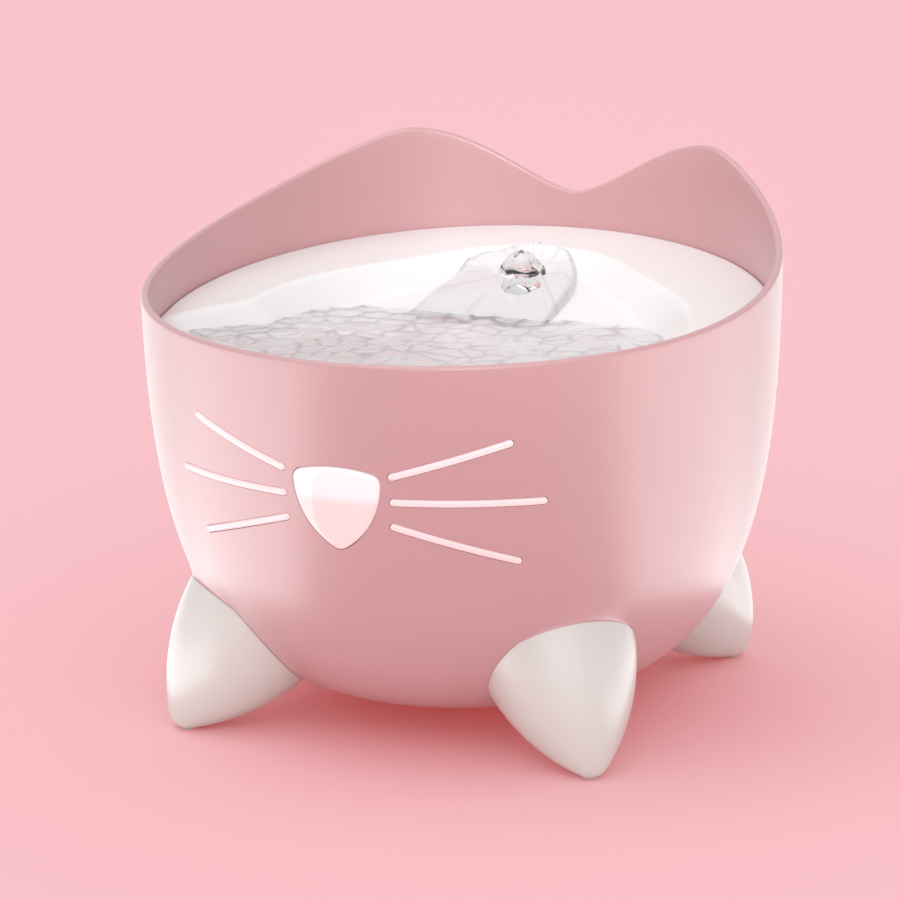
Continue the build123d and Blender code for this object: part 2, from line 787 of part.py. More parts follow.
def make_filter_cover():
    """Front cover: holds the filter and clips over the box by its two sides."""
    face = box_front_y - cover_depth
    half = box_half + cover_gap + box_wall
    low = floor_z + box_gap
    outer = block((-half, face, low), (half, box_front_y - cover_gap, box_top_z))
    outer -= block((-half + box_wall, face + box_wall, low + box_wall),
        (half - box_wall, box_front_y, box_top_z + 1))
    for side in (-1, 1):
        cheek = block((half - box_wall, face + box_wall, low + box_wall),
            (half, box_front_y + cover_overlap, box_top_z))
        outer += cheek if side > 0 else mirror(cheek, Plane.YZ)
    reach = half - 3 * box_wall
    for slot in slots(reach, low + 4 * box_wall, box_top_z - 3 * box_wall, face - 1, face + box_wall + 1):
        outer -= slot
    return outer


def frame_low_z():
    return floor_z + box_gap + box_wall + touch


def frame_front_y():
    return box_front_y - cover_depth + box_wall + touch


def make_filter_frame():
    """Cartridge: a slotted frame round the filter media, with a grip on top."""
    front = frame_front_y()
    back = front + frame_depth
    half = box_half
    top = box_top_z - box_wall
    frame = block((-half, front, frame_low_z()), (half, back, top))
    inner = half - frame_border
    frame -= block((-inner, front + box_wall, frame_low_z() + frame_border),
        (inner, back + 1, top - frame_border))
    for slot in slots(inner - slot_width, frame_low_z() + 2 * frame_border, top - 2 * frame_border,
        front - 1, back):
        frame -= slot
    grip = block((-frame_grip * 2, front, top - touch), (frame_grip * 2, front + box_wall, top + frame_grip))
    return frame + grip


def make_filter_media():
    """Foam and carbon pad that fills the frame."""
    front = frame_front_y() + box_wall + touch
    inner = box_half - frame_border - touch
    low = frame_low_z() + frame_border + touch
    top = box_top_z - box_wall - frame_border - touch
    return block((-inner, front, low), (inner, front + frame_depth - 2 * box_wall, top))


# ---------------------------------------------------------------- pump, dry half
lead_exit_x = -motor_half + 5
lead_exit_y = motor_front_y + 9


def make_motor_case():
    """Sealed case: a box open at its front, with the rotor's well in its rear face."""
    case = block((-motor_half, motor_front_y + motor_wall, motor_low_z),
        (motor_half, motor_back_y, motor_top_z))
    case = fillet(case.edges().filter_by(Axis.Y), 3)
    inner_half = motor_half - motor_wall
    hollow = block(
        (-inner_half, motor_front_y, motor_low_z + motor_wall),
        (inner_half, motor_back_y - motor_wall, motor_top_z - motor_wall),
    )
    case -= hollow
    case += cylinder((0, well_end_y(), rotor_z), (0, motor_back_y, rotor_z), well_r + well_wall)
    case -= cylinder((0, well_end_y() + well_wall * 1.5, rotor_z), (0, motor_back_y + 1, rotor_z), well_r)
    for x, z in pump_screw_spots():
        case += cylinder((x, motor_back_y - screw_bite - 2, z), (x, motor_back_y - motor_wall / 2, z),
            screw_r + 1.6)
        case -= cylinder((x, motor_back_y - screw_bite - 1, z), (x, motor_back_y + 1, z), screw_r + touch)
    for x, y in cup_spots():
        case += cylinder((x, y, motor_low_z - motor_wall / 2), (x, y, motor_low_z + motor_wall),
            cup_neck_r + 2)
        case -= cylinder((x, y, 0), (x, y, motor_low_z + motor_wall / 2), cup_neck_r + touch)
    case -= cylinder((lead_exit_x, lead_exit_y, rotor_z), (lead_exit_x, lead_exit_y, blank_top_z),
        lead_r + touch)
    return case


def well_end_y():
    return motor_front_y + motor_wall + 2


def cup_spots():
    front, back = motor_front_y + cup_inset_y, motor_back_y - cup_inset_y
    return [(side * cup_x, y) for side in (-1, 1) for y in (front, back)]


def make_motor_cap():
    cap = block((-motor_half, motor_front_y, motor_low_z),
        (motor_half, motor_front_y + motor_wall - touch, motor_top_z))
    return fillet(cap.edges().filter_by(Axis.Y), 3)


def make_stator_core():
    """Laminated yoke: two legs beside the rotor and a bridge over it."""
    front = core_front_y()
    leg_in = well_r + well_wall + slip
    low, bridge, top = rotor_z - well_r, bridge_low_z(), bridge_low_z() + bridge_height
    core = block((-leg_in - leg_width, front, low), (leg_in + leg_width, front + core_thick, top))
    return core - block((-leg_in, front - 1, low - 1), (leg_in, front + core_thick + 1, bridge))


def bridge_low_z():
    """Underside of the yoke's bridge: the winding passes between it and the well."""
    return rotor_z + well_r + well_wall + slip + coil_wrap + touch


def core_front_y():
    return (motor_front_y + motor_back_y - core_thick) / 2


def make_stator_coil():
    """Winding round the bridge."""
    front = core_front_y()
    half = well_r + well_wall - touch
    low, top = bridge_low_z() - touch, bridge_low_z() + bridge_height + touch
    back = front + core_thick
    coil = block((-half, front - coil_wrap, low - coil_wrap), (half, back + coil_wrap, top + coil_wrap))
    return coil - block((-half - 1, front - touch, low), (half + 1, back + touch, top))


def make_cups():
    """Suction cups that hold the pump to the box's floor."""
    low = box_floor_z() + touch
    cups = []
    for x, y in cup_spots():
        foot = Plane(Vector(x, y, low)) * Pos(0, 0, 1) * Cone(cup_r, cup_neck_r, 2)
        cups.append(foot + cylinder((x, y, low + 1), (x, y, motor_low_z + motor_wall / 2 - touch),
            cup_neck_r))
    return cups


# ---------------------------------------------------------------- pump, wet half
def volute_front_y():
    return motor_back_y + touch


def volute_face_y():
    return volute_front_y() + volute_depth


def make_pump_cover():
    """Volute with the spout on top, the intake grille and the seat of the front bush."""
    back, face = volute_front_y(), volute_face_y()
    cover = cylinder((0, back, rotor_z), (0, face, rotor_z), volute_r)
    flange = block((-motor_half, back, motor_low_z), (motor_half, back + volute_flange, motor_top_z))
    flange &= cylinder((0, back, rotor_z), (0, back + volute_flange, rotor_z), motor_half * 1.4)
    cover += flange
    cover += cylinder((0, outlet_y, rotor_z), (0, outlet_y, spout_top_z), spout_r)
    cover -= cylinder((0, back - 1, rotor_z), (0, face - volute_wall, rotor_z), volute_r - volute_wall)
    cover -= cylinder((0, outlet_y, rotor_z), (0, outlet_y, spout_top_z + 1), spout_r - spout_wall)
    cover -= cylinder((0, face - volute_wall - 1, rotor_z), (0, face + 1, rotor_z), intake_r)
    for k in range(3):
        angle = math.radians(90 + 120 * k)
        end = (intake_r + 1) * math.cos(angle), (intake_r + 1) * math.sin(angle)
        middle = face - volute_wall / 2
        cover += cylinder((0, middle, rotor_z), (end[0], middle, rotor_z + end[1]), volute_wall / 2)
    hub = bush_r + 1.2
    cover += cylinder((0, face - volute_wall - bush_length / 2, rotor_z), (0, face, rotor_z), hub)
    cover += cylinder((0, face - touch, rotor_z), (0, dial_face_y() + 2 * touch, rotor_z), bush_r)
    cover -= cylinder((0, face - volute_wall - bush_length, rotor_z), (0, bush_back_y(), rotor_z),
        bush_r - 1 + touch)
    cover -= cylinder((0, face, rotor_z), (0, face + 20, rotor_z), screw_r + touch)
    groove = seal_track_r + seal_ring_r + touch
    cover -= tube((0, back - 1, rotor_z), (0, back + seal_ring_r * 2, rotor_z), groove,
        seal_track_r - seal_ring_r - touch)
    for x, z in pump_screw_spots():
        cover -= cylinder((x, back - 1, z), (x, back + volute_flange + 1, z), screw_r + 2 * slip)
    return cover


def bush_back_y():
    """Closed end of the front bush's bore."""
    return volute_face_y() - volute_wall / 2


def dial_face_y():
    return volute_face_y() + slip * 3 + dial_thick


def pump_screw_spots():
    across = motor_half - 3.2
    return [(-across, motor_low_z + 4), (across, motor_low_z + 4), (-across, motor_top_z - 4),
        (across, motor_top_z - 4)]


def make_pump_seal():
    centre = Plane((0, volute_front_y() + seal_ring_r, rotor_z), z_dir=(0, 1, 0))
    return centre * Torus(seal_track_r, seal_ring_r)


def make_pump_screws():
    screws = []
    seat = volute_front_y() + volute_flange + touch
    for x, z in pump_screw_spots():
        shank = cylinder((x, motor_back_y - screw_bite, z), (x, seat + touch, z), screw_r)
        head = cylinder((x, seat, z), (x, seat + screw_head, z), screw_head_r)
        cross = cylinder((x, seat + screw_head / 2, z), (x, seat + screw_head * 2, z), screw_r * 0.9)
        screws.append(shank + head - cross)
    return screws


def make_dial():
    """Turning shutter over the intake, with a small lever."""
    low, high = volute_face_y() + 2 * slip, volute_face_y() + 2 * slip + dial_thick
    dial = cylinder((0, low, rotor_z), (0, high, rotor_z), dial_r)
    dial -= cylinder((0, low - 1, rotor_z), (0, high + 1, rotor_z), bush_r + shaft_gap)
    middle = (intake_r + bush_r) / 2 + 0.6
    for k in range(dial_slots):
        angle = math.radians(90 + 360 / dial_slots * k)
        x, z = middle * math.cos(angle), rotor_z + middle * math.sin(angle)
        dial -= cylinder((x, low - 1, z), (x, high + 1, z), dial_hole_r)
    lever = block((dial_r - 1, low, rotor_z - 2), (dial_r + dial_lever, high, rotor_z + 2))
    return dial + lever


def make_dial_retainer():
    """Screw whose wide head keeps the dial on its spigot."""
    seat = dial_face_y() + 2 * touch + touch
    head = cylinder((0, seat, rotor_z), (0, seat + screw_head, rotor_z), bush_r + 1.4)
    shank = cylinder((0, volute_face_y() + touch, rotor_z), (0, seat + touch, rotor_z), screw_r)
    cross = cylinder((0, seat + screw_head / 2, rotor_z), (0, seat + screw_head * 2, rotor_z), screw_r)
    return head + shank - cross


def make_magnet():
    """Ring magnet in the well."""
    return tube((0, magnet_low_y(), rotor_z), (0, motor_back_y - 1, rotor_z), magnet_r, shaft_r + shaft_gap)


def rear_bush_y():
    return well_end_y() + well_wall * 1.5 + touch


def magnet_low_y():
    return rear_bush_y() + bush_length + 1


def make_impeller():
    """Hub seated on the magnet, with straight vanes under a thin disc."""
    low = motor_back_y - 1 + touch
    disc = volute_front_y() + 1.2
    high = volute_face_y() - volute_wall - bush_length / 2 - 1
    wheel = cylinder((0, low, rotor_z), (0, high, rotor_z), bush_r + 1)
    wheel += cylinder((0, disc, rotor_z), (0, disc + blade_thick, rotor_z), impeller_r)
    blade = block((bush_r, disc, -blade_thick / 2), (impeller_r, high, blade_thick / 2))
    for k in range(impeller_blades):
        wheel += Pos(0, 0, rotor_z) * Rot(0, 360 / impeller_blades * k, 0) * blade
    return wheel - cylinder((0, low - 1, rotor_z), (0, high + 1, rotor_z), shaft_r + shaft_gap)


def make_shaft():
    start = rear_bush_y() + 2 * touch
    return cylinder((0, start, rotor_z), (0, bush_back_y() - 3 * touch, rotor_z), shaft_r)


def make_bushes():
    """Rubber cups that hold the shaft's two ends."""
    rear, front = rear_bush_y(), bush_back_y() - touch
    length = bush_length
    rear_bush = cylinder((0, rear, rotor_z), (0, rear + length, rotor_z), well_r - touch)
    rear_bush -= cylinder((0, rear + touch, rotor_z), (0, rear + length + 1, rotor_z), shaft_r + touch / 5)
    front_bush = cylinder((0, front - length, rotor_z), (0, front, rotor_z), bush_r - 1)
    front_bush -= cylinder((0, front - length - 1, rotor_z), (0, front - touch, rotor_z), shaft_r + touch / 5)
    return [rear_bush, front_bush]


# ---------------------------------------------------------------- inlet and leads
def seat_y():
    """Flat seat of the inlet's flange."""
    return side_r(inlet_z) - flat_depth()


def make_jack():
    """Panel socket: flange outside, threaded body through the wall, closed rear end."""
    seat = seat_y() + gasket_thick
    rear = jack_rear_y()
    jack = cylinder((0, seat, inlet_z), (0, seat + jack_flange, inlet_z), jack_flange_r)
    jack += cylinder((0, rear, inlet_z), (0, seat + jack_flange, inlet_z), jack_r)
    mouth = seat + jack_flange
    jack -= cylinder((0, mouth - socket_depth, inlet_z), (0, mouth + 1, inlet_z), socket_r)
    jack -= cylinder((0, mouth - socket_depth - 2, inlet_z), (0, mouth, inlet_z), pin_r + touch)
    return jack


def jack_rear_y():
    return seat_y() + gasket_thick + jack_flange - jack_length


def make_pin():
    mouth = seat_y() + gasket_thick + jack_flange
    pin = cylinder((0, mouth - socket_depth - 2 + touch, inlet_z),
        (0, mouth - socket_depth + pin_length, inlet_z), pin_r)
    return chamfer(pin.edges().sort_by(Axis.Y)[-1], pin_r / 2)


def make_inlet_gasket():
    return tube((0, seat_y() + touch, inlet_z), (0, seat_y() + gasket_thick - touch, inlet_z),
        jack_flange_r, jack_r + touch)


def make_nut():
    """Hexagon nut inside the wall."""
    plane = Plane((0, nut_face_y(), inlet_z), z_dir=(0, -1, 0))
    nut = plane * extrude(RegularPolygon(nut_half, 6, major_radius=False), nut_thick)
    return nut - cylinder((0, nut_face_y() - nut_thick - 1, inlet_z), (0, nut_face_y() + 1, inlet_z),
        jack_r + touch)


def nut_face_y():
    """The nut's corners meet the curved wall first."""
    corner = nut_half / math.cos(math.pi / 6)
    return math.sqrt(side_r(inlet_z - corner, wall) ** 2 - corner ** 2) - slip


def pump_lead_points():
    """Route of the motor's lead, from the inlet down to the motor case."""
    rear = jack_rear_y() - touch
    x = -lead_offset_x
    return [
        (x, rear, inlet_z),
        (x, rear - 16, inlet_z),
        (x - 7, rear - 34, inlet_z - 6),
        (lead_exit_x - 3, lead_exit_y + 26, inlet_z - 17),
        (lead_exit_x, lead_exit_y, inlet_z - 27),
        (lead_exit_x, lead_exit_y, motor_top_z - motor_wall + touch),
    ]


def turn_radii(points):
    """Radius for each corner of a route: as large as its two runs allow."""
    radii = []
    for a, b, c in zip(points, points[1:], points[2:]):
        first, second = Vector(*b) - Vector(*a), Vector(*c) - Vector(*b)
        turn = math.radians(first.get_angle(second))
        radii.append(0.45 * min(first.length, second.length) / math.tan(turn / 2))
    return radii


def lead_tube(points, r):
    path = FilletPolyline(*points, radius=turn_radii(points))
    start = Plane(points[0], z_dir=Vector(*points[1]) - Vector(*points[0]))
    return sweep(start * Circle(r), path=path)


def make_pump_lead():
    return lead_tube(pump_lead_points(), lead_r)


def light_lead_points():
    """Route of the light box's lead: along the inside of the wall to the inlet."""
    track_r = light_lead_track_r()
    start = polar(track_r, light_azimuth, light_lead_z)
    points = [tuple(start + light_lead_way() * -light_wall * 2), tuple(start + light_lead_way() * 12)]
    for azimuth in range(66, 160, 15):
        points.append(tuple(polar(track_r, azimuth, light_lead_z)))
    rear = jack_rear_y() - touch
    points.append((lead_offset_x + 9, rear - 17, (light_lead_z + inlet_z) / 2))
    points.append((lead_offset_x, rear - 10, inlet_z))
    points.append((lead_offset_x, rear, inlet_z))
    return points


def make_light_lead():
    return lead_tube(light_lead_points(), light_lead_r)


def make_clips():
    """Hooks on the wall that hold the light box's lead."""
    clips = []
    track_r = light_lead_track_r()
    for azimuth in clip_azimuths:
        out = polar(1, azimuth, 0)
        centre = polar(track_r, azimuth, light_lead_z)
        inner = track_r - light_lead_r - clip_wall
        outer = side_r(light_lead_z, wall) - touch
        tall = light_lead_r + clip_wall
        low, high = (-clip_width / 2, -tall, inner), (clip_width / 2, tall, outer + 2)
        clip = radial_plane(azimuth, light_lead_z) * block(low, high)
        clip &= round_body(wall + touch, light_low_z, light_top_z)
        clip -= make_light_lead_hole()
        clips.append(clip)
    return clips


def make_light_lead_hole():
    return lead_tube(light_lead_points(), light_lead_r + touch)


# ---------------------------------------------------------------- all nodes
def all_nodes():
    nodes = {"bowl_shell": make_bowl()}
    for name, azimuth in foot_azimuths.items():
        nodes["foot_" + name] = make_foot(azimuth)
    nodes["foot_pads"] = make_pads()
    nodes["nose_lens"] = make_nose()
    nodes["whisker_lens_left"] = make_whiskers(-1)
    nodes["whisker_lens_right"] = make_whiskers(1)
    nodes["face_light_cover"] = make_light_cover()
    nodes["face_light_gasket"] = make_light_gasket()
    nodes["face_light_board"] = make_light_board()
    nodes["face_leds"] = make_leds()
    nodes["face_cover_screws"] = make_cover_screws()
    nodes["light_lead"] = make_light_lead()
    nodes["lead_clips"] = make_clips()
    nodes["drinking_tray"] = make_tray()
    nodes["outlet_seal"] = make_seal()
    nodes["riser_tube"] = make_riser()
    nodes["pump_housing"] = make_box()
    nodes["housing_lid"] = make_lid()
    nodes["filter_cover"] = make_filter_cover()
    nodes["filter_frame"] = make_filter_frame()
    nodes["filter_media"] = make_filter_media()
    nodes["motor_case"] = make_motor_case()
    nodes["motor_cap"] = make_motor_cap()
    nodes["stator_core"] = make_stator_core()
    nodes["stator_coil"] = make_stator_coil()
    nodes["suction_cups"] = make_cups()
    nodes["pump_cover"] = make_pump_cover()
    nodes["pump_seal"] = make_pump_seal()
    nodes["pump_cover_screws"] = make_pump_screws()
    nodes["flow_dial"] = make_dial()
    nodes["dial_retainer"] = make_dial_retainer()
    nodes["impeller"] = make_impeller()
    nodes["rotor_magnet"] = make_magnet()
    nodes["rotor_shaft"] = make_shaft()
    nodes["shaft_bushes"] = make_bushes()
    nodes["inlet_jack"] = make_jack()
    nodes["inlet_pin"] = make_pin()
    nodes["inlet_gasket"] = make_inlet_gasket()
    nodes["inlet_nut"] = make_nut()
    nodes["pump_lead"] = make_pump_lead()
    return nodes


os.makedirs("parts", exist_ok=True)
for node, shape in all_nodes().items():
    if isinstance(shape, list):
        shape = Compound(children=[piece.solid() for piece in shape])
    export_step(shape, "parts/" + node + ".step")
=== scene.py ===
# Pet water fountain: a satin pink bowl with two ears on four white cone feet, a white
# drinking tray with running water, and a clear nose and whiskers in the front wall.
import math
import bmesh
import bpy
import numpy as np
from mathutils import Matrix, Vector


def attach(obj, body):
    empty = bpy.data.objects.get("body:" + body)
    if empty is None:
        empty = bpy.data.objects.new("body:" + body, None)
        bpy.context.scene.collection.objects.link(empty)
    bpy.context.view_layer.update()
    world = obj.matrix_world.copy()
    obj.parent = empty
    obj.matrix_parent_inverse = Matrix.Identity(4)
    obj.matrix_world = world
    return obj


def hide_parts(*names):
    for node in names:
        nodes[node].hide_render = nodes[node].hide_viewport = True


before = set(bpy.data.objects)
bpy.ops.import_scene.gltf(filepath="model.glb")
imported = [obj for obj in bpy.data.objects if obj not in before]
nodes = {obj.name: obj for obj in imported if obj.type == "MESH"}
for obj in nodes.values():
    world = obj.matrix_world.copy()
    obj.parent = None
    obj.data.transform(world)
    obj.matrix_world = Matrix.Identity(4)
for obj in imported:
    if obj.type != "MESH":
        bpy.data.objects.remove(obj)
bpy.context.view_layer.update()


# ---------------------------------------------------------------- camera
# A long lens a little above the rim, 23 degrees to the right of the nose.
camera_roll = -0.80
camera_lens = bpy.data.cameras.new("camera")
camera_lens.lens = 168.07
camera_lens.sensor_width = 36.0
camera = bpy.data.objects.new("camera", camera_lens)
bpy.context.scene.collection.objects.link(camera)
camera.location = (0.5964, -1.4158, 0.4981)
camera_aim = Vector((-0.0047, -0.0020, 0.0955)) - camera.location
camera.rotation_euler = camera_aim.to_track_quat("-Z", "Y").to_euler()
camera.rotation_euler.rotate_axis("Z", math.radians(camera_roll))
bpy.context.scene.camera = camera
bpy.context.scene.view_settings.view_transform = "Standard"


# ---------------------------------------------------------------- floor and light
# A matt rose paper sheet under the fountain, in a plain white room. Four broad suns and a
# small lamp for the tray light it, and cards on the floor give the satin skin its sheen.
def linear(code):
    """Linear colour from an sRGB hex code."""
    values = [int(code[i:i + 2], 16) / 255 for i in (0, 2, 4)]
    return tuple(v / 12.92 if v <= 0.04045 else ((v + 0.055) / 1.055) ** 2.4 for v in values) + (1.0,)


def per_metre(size):
    """Scale of a pattern whose grains are this many millimetres."""
    return 1000 / size


def add_node(tree, kind, links=None, **settings):
    """One shader node with its settings, its values and its links."""
    node = tree.nodes.new(kind)
    for key, value in settings.items():
        setattr(node, key, value)
    for key, value in (links or {}).items():
        if isinstance(value, bpy.types.NodeSocket):
            tree.links.new(value, node.inputs[key])
        else:
            node.inputs[key].default_value = value
    return node


def new_material(name):
    material = bpy.data.materials.new(name)
    material.use_nodes = True
    material.node_tree.nodes.clear()
    return material, material.node_tree


def finish_material(tree, shader):
    output = add_node(tree, "ShaderNodeOutputMaterial")
    tree.links.new(shader, output.inputs["Surface"])


def new_piece(name, vertices, faces, material, smooth_angle=35):
    """Mesh object in metres from millimetre points, shaded smooth except at real edges."""
    mesh = bpy.data.meshes.new(name)
    points = [tuple(c * 0.001 for c in v) for v in vertices]
    mesh.from_pydata(points, [], [tuple(int(i) for i in f) for f in faces])
    mesh.materials.append(material)
    tidy = bmesh.new()
    tidy.from_mesh(mesh)
    bmesh.ops.remove_doubles(tidy, verts=tidy.verts, dist=1e-7)
    bmesh.ops.recalc_face_normals(tidy, faces=tidy.faces)
    tidy.to_mesh(mesh)
    tidy.free()
    mesh.shade_smooth()
    mesh.set_sharp_from_angle(angle=math.radians(smooth_angle))
    piece = bpy.data.objects.new(name, mesh)
    bpy.context.scene.collection.objects.link(piece)
    return piece


# Uncoated dyed paper: dead matt, with a faint fibre in its tone. Looked at, mirrored or seen
# through water it glows a little and reads as an even rose. The light that it throws back on
# the fountain is paler, so that the pink and the white keep their own colours.
paper, tree = new_material("rose_paper")
coords = add_node(tree, "ShaderNodeTexCoord").outputs["Object"]
fibre = add_node(tree, "ShaderNodeTexNoise", {"Vector": coords, "Scale": per_metre(1.11), "Detail": 3.0})
tone = add_node(tree, "ShaderNodeMix", {
    "Factor": fibre.outputs["Fac"], "A": linear("D2BEC5"), "B": linear("D1BDC4")}, data_type="RGBA")
path = add_node(tree, "ShaderNodeLightPath").outputs
seen = add_node(tree, "ShaderNodeMath", {
    0: path["Is Camera Ray"], 1: path["Is Glossy Ray"]}, operation="ADD", use_clamp=True)
seen = add_node(tree, "ShaderNodeMath", {
    0: seen.outputs["Value"], 1: path["Is Transmission Ray"]}, operation="ADD", use_clamp=True)
spill = add_node(tree, "ShaderNodeMix", {
    "Factor": seen.outputs["Value"], "A": linear("FAF0EE"), "B": tone.outputs["Result"]}, data_type="RGBA")
dull = add_node(tree, "ShaderNodeBsdfDiffuse", {"Color": spill.outputs["Result"]})
rosy = add_node(tree, "ShaderNodeEmission", {
    "Color": linear("95302A"), "Strength": seen.outputs["Value"]})
both = add_node(tree, "ShaderNodeAddShader", {0: dull.outputs["BSDF"], 1: rosy.outputs["Emission"]})
finish_material(tree, both.outputs["Shader"])
far = 4000
floor_corners = [(-far, -far, 0), (far, -far, 0), (far, far, 0), (-far, far, 0)]
new_piece("floor", floor_corners, [(0, 1, 2, 3)], paper)

world = bpy.data.worlds.new("room")
bpy.context.scene.world = world
world.use_nodes = True
world.node_tree.nodes["Background"].inputs["Color"].default_value = linear("FFFFFF")
world.node_tree.nodes["Background"].inputs["Strength"].default_value = 0.75
view = Vector((camera.location.x, camera.location.y, 0)).normalized()
view_right = Vector((-view.y, view.x, 0))


def bearing(azimuth, height=0):
    """Way to a lamp in degrees: azimuth from the camera, positive to its right, and height."""
    a, h = math.radians(azimuth), math.radians(height)
    level = math.cos(a) * view + math.sin(a) * view_right
    return math.cos(h) * level + math.sin(h) * Vector((0, 0, 1))


def hang_lamp(lamp, away, place=(0, 0, 0)):
    """Puts a lamp at a place, turned to shine against the way that leads to it."""
    holder = bpy.data.objects.new(lamp.name, lamp)
    holder.location = place
    holder.rotation_euler = (-away).to_track_quat("-Z", "Y").to_euler()
    bpy.context.scene.collection.objects.link(holder)


for name, azimuth, height, strength, spread in (
    ("key_lamp", -110, 76, 0.5, 40),
    ("front_lamp", 0, 15, 0.35, 60),
    ("high_lamp", 0, 50, 0.3, 60),
    ("left_lamp", -90, 40, 0.1, 50),
):
    lamp = bpy.data.lights.new(name, "SUN")
    lamp.energy = strength
    lamp.angle = math.radians(spread)
    hang_lamp(lamp, bearing(azimuth, height))

# A narrow lamp beside the camera reaches over the rim to the tray's back.
tray_back, tray_lamp_reach = Vector((0.0, 0.09, 0.19)), 0.8
lamp = bpy.data.lights.new("tray_lamp", "AREA")
lamp.shape = "DISK"
lamp.size = 0.16
lamp.spread = math.radians(16)
lamp.energy = 0.022
hang_lamp(lamp, bearing(0, 16), tray_back + tray_lamp_reach * bearing(0, 16))

# The cards lie flat round the fountain. Only glossy skins see them, as soft bands of light
# low on the bowl and on the feet.
card_near, card_far, card_z = 150, 3000, 0.5
for name, first, last, strength in (
    ("card_left", -50, -110, 2.3),
    ("card_left_back", -110, -180, 1.5),
    ("card_right", 50, 110, 2.1),
    ("card_right_back", 110, 180, 1.4),
):
    glow, tree = new_material(name)
    emission = add_node(tree, "ShaderNodeEmission", {"Strength": strength})
    finish_material(tree, emission.outputs["Emission"])
    ways = [bearing(first + (last - first) * k / 8) for k in range(9)]
    ring = [card_near * way for way in ways] + [card_far * way for way in reversed(ways)]
    card = new_piece(name, [(spot.x, spot.y, card_z) for spot in ring], [tuple(range(len(ring)))], glow)
    card.visible_camera = False
    card.visible_diffuse = False
    card.visible_shadow = False
    card.visible_transmission = False


# ---------------------------------------------------------------- bowl
# One injection moulding in satin pink ABS: reservoir, drinking rim and ears, with a soft
# collar over each foot. The wall is 3 mm with a rounded lip, and it is pierced for the
# nose, the whiskers and the inlet. Its inner ribs and screw posts are not drawn.
rim_r, side_top, side_low, side_power = 120.05, 217.9, 7.7, 3.59
wall, base_z, lip = 3.0, 11.2, 1.3
ear_turn, back_z, back_rise, front_z, front_rise = 33.0, 173.0, 25.05, 156.0, 42.05
nose_corner, nose_top, nose_tip, nose_side = (16.6, 115.6), 118.2, 86.6, (13.6, 100.2)
nose_middle, nose_gap = 104.0, 0.3
# Each whisker is the azimuth and height of its inner end, then those of its outer end.
whisker_lines = [(10.4, 115.9, 30.7, 128.3), (10.5, 106.4, 36.8, 106.3), (10.4, 97.1, 32.5, 83.9)]
bar_half, bar_gap = 1.3, 0.22
inlet_z, inlet_hole_r, inlet_seat_r, inlet_seat_deep = 115, 5.6, 7.3, 0.53
foot_azimuths = {"front_left": -46, "front_right": 46, "rear_left": -134, "rear_right": 134}
foot_r, seam_r, seam_z, tip_r, tip_reach = 29.0, 85.3, 37.7, 7.5, 111.6


def ease(t):
    """Smooth step from 0 to 1."""
    t = np.clip(t, 0.0, 1.0)
    return t * t * (3 - 2 * t)


def side_table(inset):
    """Radii and rising heights of the bowl's side, inset along its normal."""
    t = np.linspace(math.pi / 2 - 1e-3, 1e-4, 5000)
    height = side_top - side_low
    u, v = np.cos(t) ** (2 / side_power), np.sin(t) ** (2 / side_power)
    slope_r, slope_z = u ** (side_power - 1) / rim_r, -(v ** (side_power - 1)) / height
    size = np.hypot(slope_r, slope_z)
    return rim_r * u - inset * slope_r / size, side_top - height * v - inset * slope_z / size


side_tables = {inset: side_table(inset) for inset in (0.0, wall)}


def side_r(z, inset=0.0):
    """Radius of the bowl's outside, or of its inside, at a height."""
    radii, heights = side_tables[inset]
    return np.interp(z, heights, radii)


def rim_height(azimuth):
    """Height of the wavy rim at an azimuth counted from the nose."""
    back = 180 - abs(azimuth)
    if back <= ear_turn:
        return back_z + back_rise * math.sin(math.pi / 2 * (back / ear_turn) ** 0.8) ** 2
    return front_z + front_rise * math.exp(-(((back - ear_turn) / 41.6) ** 1.33))


def polar(r, azimuth, z):
    """Point at a radius, an azimuth counted from the nose and a height."""
    a = math.radians(azimuth)
    return np.array((r * math.sin(a), -r * math.cos(a), z))


def bowl_column(azimuth, outer_rows=84, inner_rows=60):
    """Radius and height down one section of the bowl: floor, outer side, lip, inner side, floor."""
    top = rim_height(azimuth)
    points = []
    for inset, low, rows, up in ((0.0, base_z, outer_rows, True), (wall, base_z + wall, inner_rows, False)):
        radii, heights = side_tables[inset]
        keep = (heights > low) & (heights < top - lip)
        ends = np.interp((low, top - lip), heights, radii)
        r = np.concatenate((ends[:1], radii[keep], ends[1:]))
        z = np.concatenate(([low], heights[keep], [top - lip]))
        run = np.concatenate(([0], np.cumsum(np.hypot(np.diff(r), np.diff(z)))))
        at = np.linspace(0, run[-1], rows)
        side = list(zip(np.interp(at, run, r), np.interp(at, run, z)))
        flat = [(share * side[0][0], low) for share in np.linspace(0, 1, 8)[:-1]]
        whole = flat + side
        points.append(whole if up else whole[::-1])
    outer_r, inner_r = points[0][-1][0], points[1][0][0]
    bend = []
    for share in np.linspace(0, 1, 7)[1:]:
        a = share * math.pi / 2
        bend.append((outer_r - lip * (1 - math.cos(a)), top - lip + lip * math.sin(a)))
    for share in np.linspace(0, 1, 7)[:-1]:
        a = share * math.pi / 2
        bend.append((inner_r + lip * (1 - math.sin(a)), top - lip + lip * math.cos(a)))
    return points[0] + bend + points[1]


def grid_faces(columns, rows, caps=False):
    """Quads of a closed ring of columns of points, with a cap over each end where asked."""
    faces = []
    for c in range(columns):
        d = (c + 1) % columns
        for r in range(rows - 1):
            faces.append((c * rows + r, d * rows + r, d * rows + r + 1, c * rows + r + 1))
    if caps:
        faces.append(tuple(c * rows for c in range(columns)))
        faces.append(tuple(c * rows + rows - 1 for c in reversed(range(columns))))
    return faces


